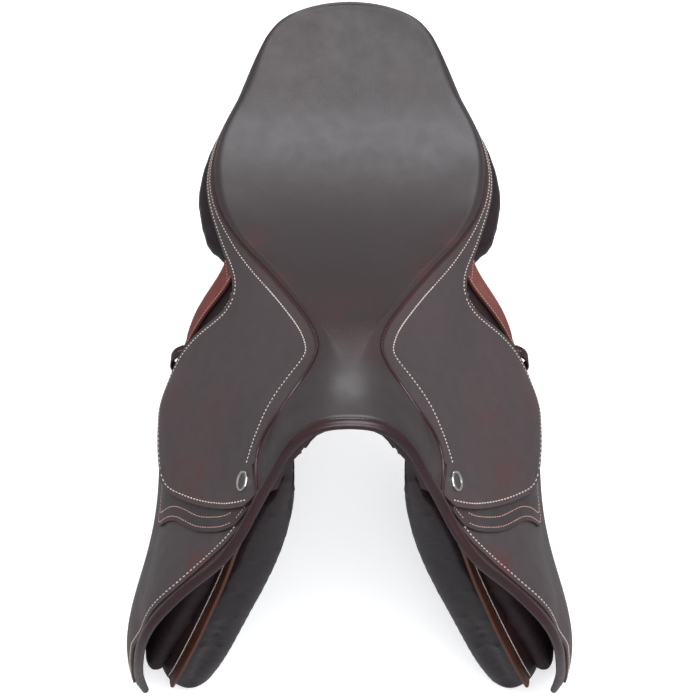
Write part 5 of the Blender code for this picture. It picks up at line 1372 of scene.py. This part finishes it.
nose = []
for z in np.concatenate([[126, 124.5, 122], np.linspace(118, 4, 28), [0, -4]]):
    xi = float(np.interp(z, [7, 51, 88, 104, 112, 126], [47.5, 44, 41, 39.6, 38.4, 34]))
    k_ = float(np.interp(z, [-4, 0, 4, 118, 122, 124.5, 126], [0.4, 0.8, 1, 1, 0.85, 0.6, 0.25]))
    w_ = float(np.interp(z, [0, 60, 90, 112, 126], [11, 9, 7, 5.0, 3.5]))
    nose.append([(xi + w_ + w_ * k_ * math.cos(a), -199.3 + 3.7 * k_ * math.sin(a), z) for a in np.linspace(0, 2 * math.pi, 28, endpoint=False)])
nose = np.array(nose)
both_sides(lambda name: closed_loft(closed_loft(Piece(name), rings), nose), [PANEL_L], "panel_pad", "panel", 0.0010)

# ---------------------------------------------------------------- knee and calf blocks
for name, (yc, zc), (ry, rz, tilt), spare, rise in (("knee_block", (-210, -156), (21, 110, 8), 2.5, 18), ("calf_block", (-24, -205), (14, 44, -6), 1.6, 7)):
    brings = []
    for r_, h_ in ((0.15, 0.0), (0.4, 0.0), (0.7, 0.0), (1.0, 0.0), (1.0, 0.3), (1.0, 0.55), (0.97, 0.72), (0.90, 0.86), (0.80, 0.94), (0.68, 0.985), (0.45, 1.0), (0.2, 1.0)):
        ring = []
        for a in np.linspace(0, 2 * math.pi, 48, endpoint=False):
            ca, sa = math.cos(a), math.sin(a)
            y = yc + ry * r_ * math.copysign(abs(ca) ** 0.7, ca) + tilt * r_ * sa
            z = zc + rz * r_ * math.copysign(abs(sa) ** 0.7, sa)
            lo, n_ = INNER.point(y, z, -1.0), INNER.normal(y, z)
            room = 0.0
            while room < rise:
                q = lo + n_ * (room + 0.5)
                if (OUTER(q[1], q[2]) - q[0]) * OUTER.normal(q[1], q[2])[0] < FLAP_OUT + FLAP_T + spare:
                    break
                room += 0.5
            ring.append(lo + n_ * max(room, 1.0) * h_)
        brings.append(ring)
    brings = np.array(brings)
    for _ in range(2):
        brings = 0.5 * brings + 0.25 * (np.roll(brings, 1, 1) + np.roll(brings, -1, 1))
    both_sides(lambda label: closed_loft(Piece(label), brings), [BLOCK_SHADED_L], f"{name}_pad", name, 0.0008)

# ---------------------------------------------------------------- girth billets
for name, y_top_, y_low_ in (("front_billet", -78, -92), ("rear_billet", -53.5, -55)):
    z = np.concatenate([np.linspace(26, -236, 90), np.linspace(-238, -252, 14)])
    yc = np.interp(z, [-252, 26], [y_low_, y_top_])
    half = np.interp(z, [-252, -250, -246, -236], [4, 6.5, 9.5, 12.2])
    g = []
    for a, b, h in zip(yc, z, half):
        row_ = []
        for q in (-1, -0.93, -0.8, -0.5, 0, 0.5, 0.8, 0.93, 1):
            y = a + q * h
            deep = OUTER(y, b) - (FLAP_OUT + FLAP_T + 0.9) / OUTER.normal(y, b)[0]
            lift = INNER(y, b) + 4.0 / INNER.normal(y, b)[0]
            row_.append((min(deep, lift), y, b))
        g.append(row_)
    g = np.array(g)
    gn = grid_normals(g, (1, 0, 0))
    for side, tag in LEFT_RIGHT:
        piece = Piece(f"{tag}_{name}_strap")
        slab(piece, g, gn, 3.0, r=0.6)
        for j in (1, 7):
            stitches(piece, g[2:-4, j] * 0.6 + g[2:-4, 4] * 0.4 * 0 + g[2:-4, j] * 0.4, gn[2:-4, j], pitch=3.4, length=2.4, r=0.32)
        for k_, zz_ in enumerate(np.arange(-226, -118, 24.0)):
            i_ = int(np.argmin(np.abs(z - zz_)))
            p_, n_ = g[i_, 4], gn[i_, 4]
            t_ = unit(g[i_ + 1, 4] - g[i_ - 1, 4]); b_ = np.cross(n_, t_)
            ring = [[p_ + n_ * h + (t_ * math.cos(a) + b_ * math.sin(a)) * rr_ for a in np.linspace(0, 2 * math.pi, 20, endpoint=False)]
                    for rr_, h in ((2.5, 0.05), (2.3, 0.35), (1.9, 0.38), (1.6, 0.1), (1.5, -0.0), (0.2, -0.0))]
            piece.add(np.array(ring), quads(6, 20, wrap=True), 2)
        obj = piece.make([DARK_L, THREAD, IRON], side)
        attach(obj, "saddle"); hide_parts(f"{tag}_{name}")

# ---------------------------------------------------------------- strap behind the flap, its loop and ring
t = np.linspace(0, 1, 70)
cl = along([(112, 42, 46), (127, 35, 20), (141, 26, -8), (153, 17, -38)])(t)
half = np.interp(t, [0, 0.84, 0.91, 0.96, 1], [12.5, 12.5, 11.2, 8.8, 5.0])
skew = np.interp(t, [0, 0.8, 1], [0, 0, -3])
qs = np.array([-1, -0.95, -0.8, -0.5, 0, 0.5, 0.8, 0.95, 1])
bsg = np.array([[INNER.point(c_[1] + q * h + k_, c_[2] + 0.25 * q * h, -5.2) for q in qs] for c_, h, k_ in zip(cl, half, skew)])
bsn = np.array([[INNER.normal(c_[1] + q * h + k_, c_[2] + 0.25 * q * h) for q in qs] for c_, h, k_ in zip(cl, half, skew)])
dull = np.exp(-((t - 0.72) / 0.07) ** 2)[:, None] * np.exp(-((qs - 0.1) / 0.5) ** 2)[None] * 0.0
base, n_ = INNER.point(6.0, -60.0, 0.0), INNER.normal(6.0, -60.0)
rear_v = unit(np.array([0, 1.0, 0]) - n_ * n_[1])
down = np.cross(rear_v, n_)
down = down * (-1 if down[2] > 0 else 1)
arc = [(-19, 0.4), (-17.2, 3.4), (-14.8, 6.6), (-11, 9.6), (-6, 11.6), (0, 12.3), (6, 11.6), (11, 9.6), (14.8, 6.6), (17.2, 3.4), (19, 0.4)]
am = along([(a, b, 0) for a, b in arc])(np.linspace(0, 1, 60))[:, :2]
lg = np.array([[base + down * a + n_ * b + rear_v * q for q in (-6, -5.6, -3.5, 0, 3.5, 5.6, 6)] for a, b in am])
ln = grid_normals(lg, n_)
ln = unit(ln)
if (ln[30, 3] @ n_) < 0:
    ln = -ln
for side, tag in LEFT_RIGHT:
    piece = Piece(f"{tag}_rear_strap")
    slab(piece, bsg, bsn, 2.8, r=0.7)
    stitches(piece, bsg[3:-3, 1] * 0.5 + bsg[3:-3, 2] * 0.5, bsn[3:-3, 1], pitch=3.3, length=2.0, r=0.48)
    stitches(piece, bsg[3:-3, 7] * 0.5 + bsg[3:-3, 6] * 0.5, bsn[3:-3, 7], pitch=3.3, length=2.0, r=0.48)
    stitches(piece, bsg[9, 1:8], bsn[9, 1:8], pitch=3.3, length=2.0, r=0.48)
    obj = piece.make([RUSSET_L, THREAD_P], side)
    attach(obj, "saddle"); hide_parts(f"{tag}_balance_strap")
    piece = Piece(f"{tag}_ring_keeper")
    slab(piece, lg, ln, 2.2, r=0.5)
    stitches(piece, lg[4:14, 3] + ln[4:14, 3] * 0.0, ln[4:14, 3], pitch=2.6, length=1.8, r=0.3)
    stitches(piece, lg[-14:-4, 3], ln[-14:-4, 3], pitch=2.6, length=1.8, r=0.3)
    obj = piece.make([DARK_L, THREAD_P], side)
    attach(obj, "saddle"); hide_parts(f"{tag}_ring_loop")
    piece = Piece(f"{tag}_dee_ring")
    ring_pts = along([(-7.5, -4, 0), (-7.5, 1, 0), (-7.5, 6, 0)] + [(-7.5 * math.cos(q), 6 + 8.5 * math.sin(q), 0) for q in np.linspace(0.3, math.pi - 0.3, 7)] + [(7.5, 6, 0), (7.5, 1, 0), (7.5, -4, 0)])(np.linspace(0, 1, 60))[:, :2]
    bar = np.stack([np.linspace(7.5, -7.5, 16)[1:-1], np.full(14, -4.0)], -1)
    ring_all = np.concatenate([ring_pts, bar])
    tube(piece, [base + n_ * 3.0 + down * a + rear_v * b for a, b in ring_all], 1.5, sides=14, cyclic=True, up=n_)
    obj = piece.make([STEEL], side, angle=80)
    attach(obj, f"{tag}_ring"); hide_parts(f"{tag}_strap_ring")

# ---------------------------------------------------------------- carried-over nodes
kept = {"tree_frame": TREE_WOOD_PAINTED_SHADE, "gullet_plate": IRON}
for _side, tag in LEFT_RIGHT:
    for name in ("stirrup_bar", "bar_rivet_1", "bar_rivet_2", "catch_pin", "bar_catch"):
        kept[f"{tag}_{name}"] = STEEL
for name, mat in kept.items():
    for s_ in NODES[name].material_slots:
        s_.material = mat

# ---------------------------------------------------------------- room, light and camera
scene = bpy.context.scene
low = CAD_BOX[0][2] - 0.0008
mesh = bpy.data.meshes.new("studio_floor")
bm = bmesh.new()
bmesh.ops.create_grid(bm, x_segments=1, y_segments=1, size=6.0)
bm.to_mesh(mesh); bm.free()
floor = bpy.data.objects.new("studio_floor", mesh)
floor.location = (0, 0, low)
scene.collection.objects.link(floor)
fm, nt, fb_, flink = shader("studio_floor")
fb_.inputs["Base Color"].default_value = (0.93, 0.93, 0.93, 1)
fb_.inputs["Roughness"].default_value = 0.9
fb_.inputs["Specular IOR Level"].default_value = 0.1
fb_.inputs["Emission Color"].default_value = (1, 1, 1, 1)
path = nt.nodes.new("ShaderNodeLightPath")
for to_min, to_max, socket in ((0.30, 0.93, None), (0.0, 0.26, "Emission Strength")):
    seen = nt.nodes.new("ShaderNodeMapRange")
    seen.inputs["To Min"].default_value, seen.inputs["To Max"].default_value = to_min, to_max
    flink.new(path.outputs["Is Camera Ray"], seen.inputs["Value"])
    if socket:
        flink.new(seen.outputs["Result"], fb_.inputs[socket])
    else:
        pale = nt.nodes.new("ShaderNodeCombineColor")
        for channel in ("Red", "Green", "Blue"):
            flink.new(seen.outputs["Result"], pale.inputs[channel])
        flink.new(pale.outputs["Color"], fb_.inputs["Base Color"])
floor.data.materials.append(fm)

world_ = bpy.data.worlds.new("studio")
scene.world = world_
world_.use_nodes = True
wb = world_.node_tree.nodes["Background"]
wb.inputs["Color"].default_value = (1.0, 1.0, 1.0, 1)
wb.inputs["Strength"].default_value = 0.50


def softbox(name, place, target, size, power, colour=(1, 1, 1)):
    light = bpy.data.lights.new(name, "AREA")
    light.shape, light.size, light.energy, light.color = "DISK", size, power, colour
    obj = bpy.data.objects.new(name, light)
    obj.location = place
    obj.rotation_euler = (Vector(target) - Vector(place)).to_track_quat("-Z", "Y").to_euler()
    scene.collection.objects.link(obj)
    return obj


softbox("key_softbox", (0.30, -0.45, 2.40), (0, 0.0, 0), 2.3, 72.0, (0.93, 0.95, 1.0))
softbox("front_softbox", (0.10, -2.3, 1.25), (0, 0.0, 0), 1.7, 38.0, (0.95, 0.96, 1.0))
softbox("rear_softbox", (0.0, 2.5, 0.42), (0, -0.1, 0.05), 1.1, 36.0, (0.95, 0.96, 1.0))

cam = bpy.data.cameras.new("camera")
cam.sensor_width, cam.lens = 36.0, 36.0 * 1300 / 700
camera = bpy.data.objects.new("camera", cam)
camera.location = (0.0004, -0.7297, 0.9696)
camera.rotation_euler = Vector((0, 0.5878, -0.8090)).to_track_quat("-Z", "Y").to_euler()
cam.clip_end = 50
scene.collection.objects.link(camera)
scene.camera = camera
scene.view_settings.view_transform = "Standard"
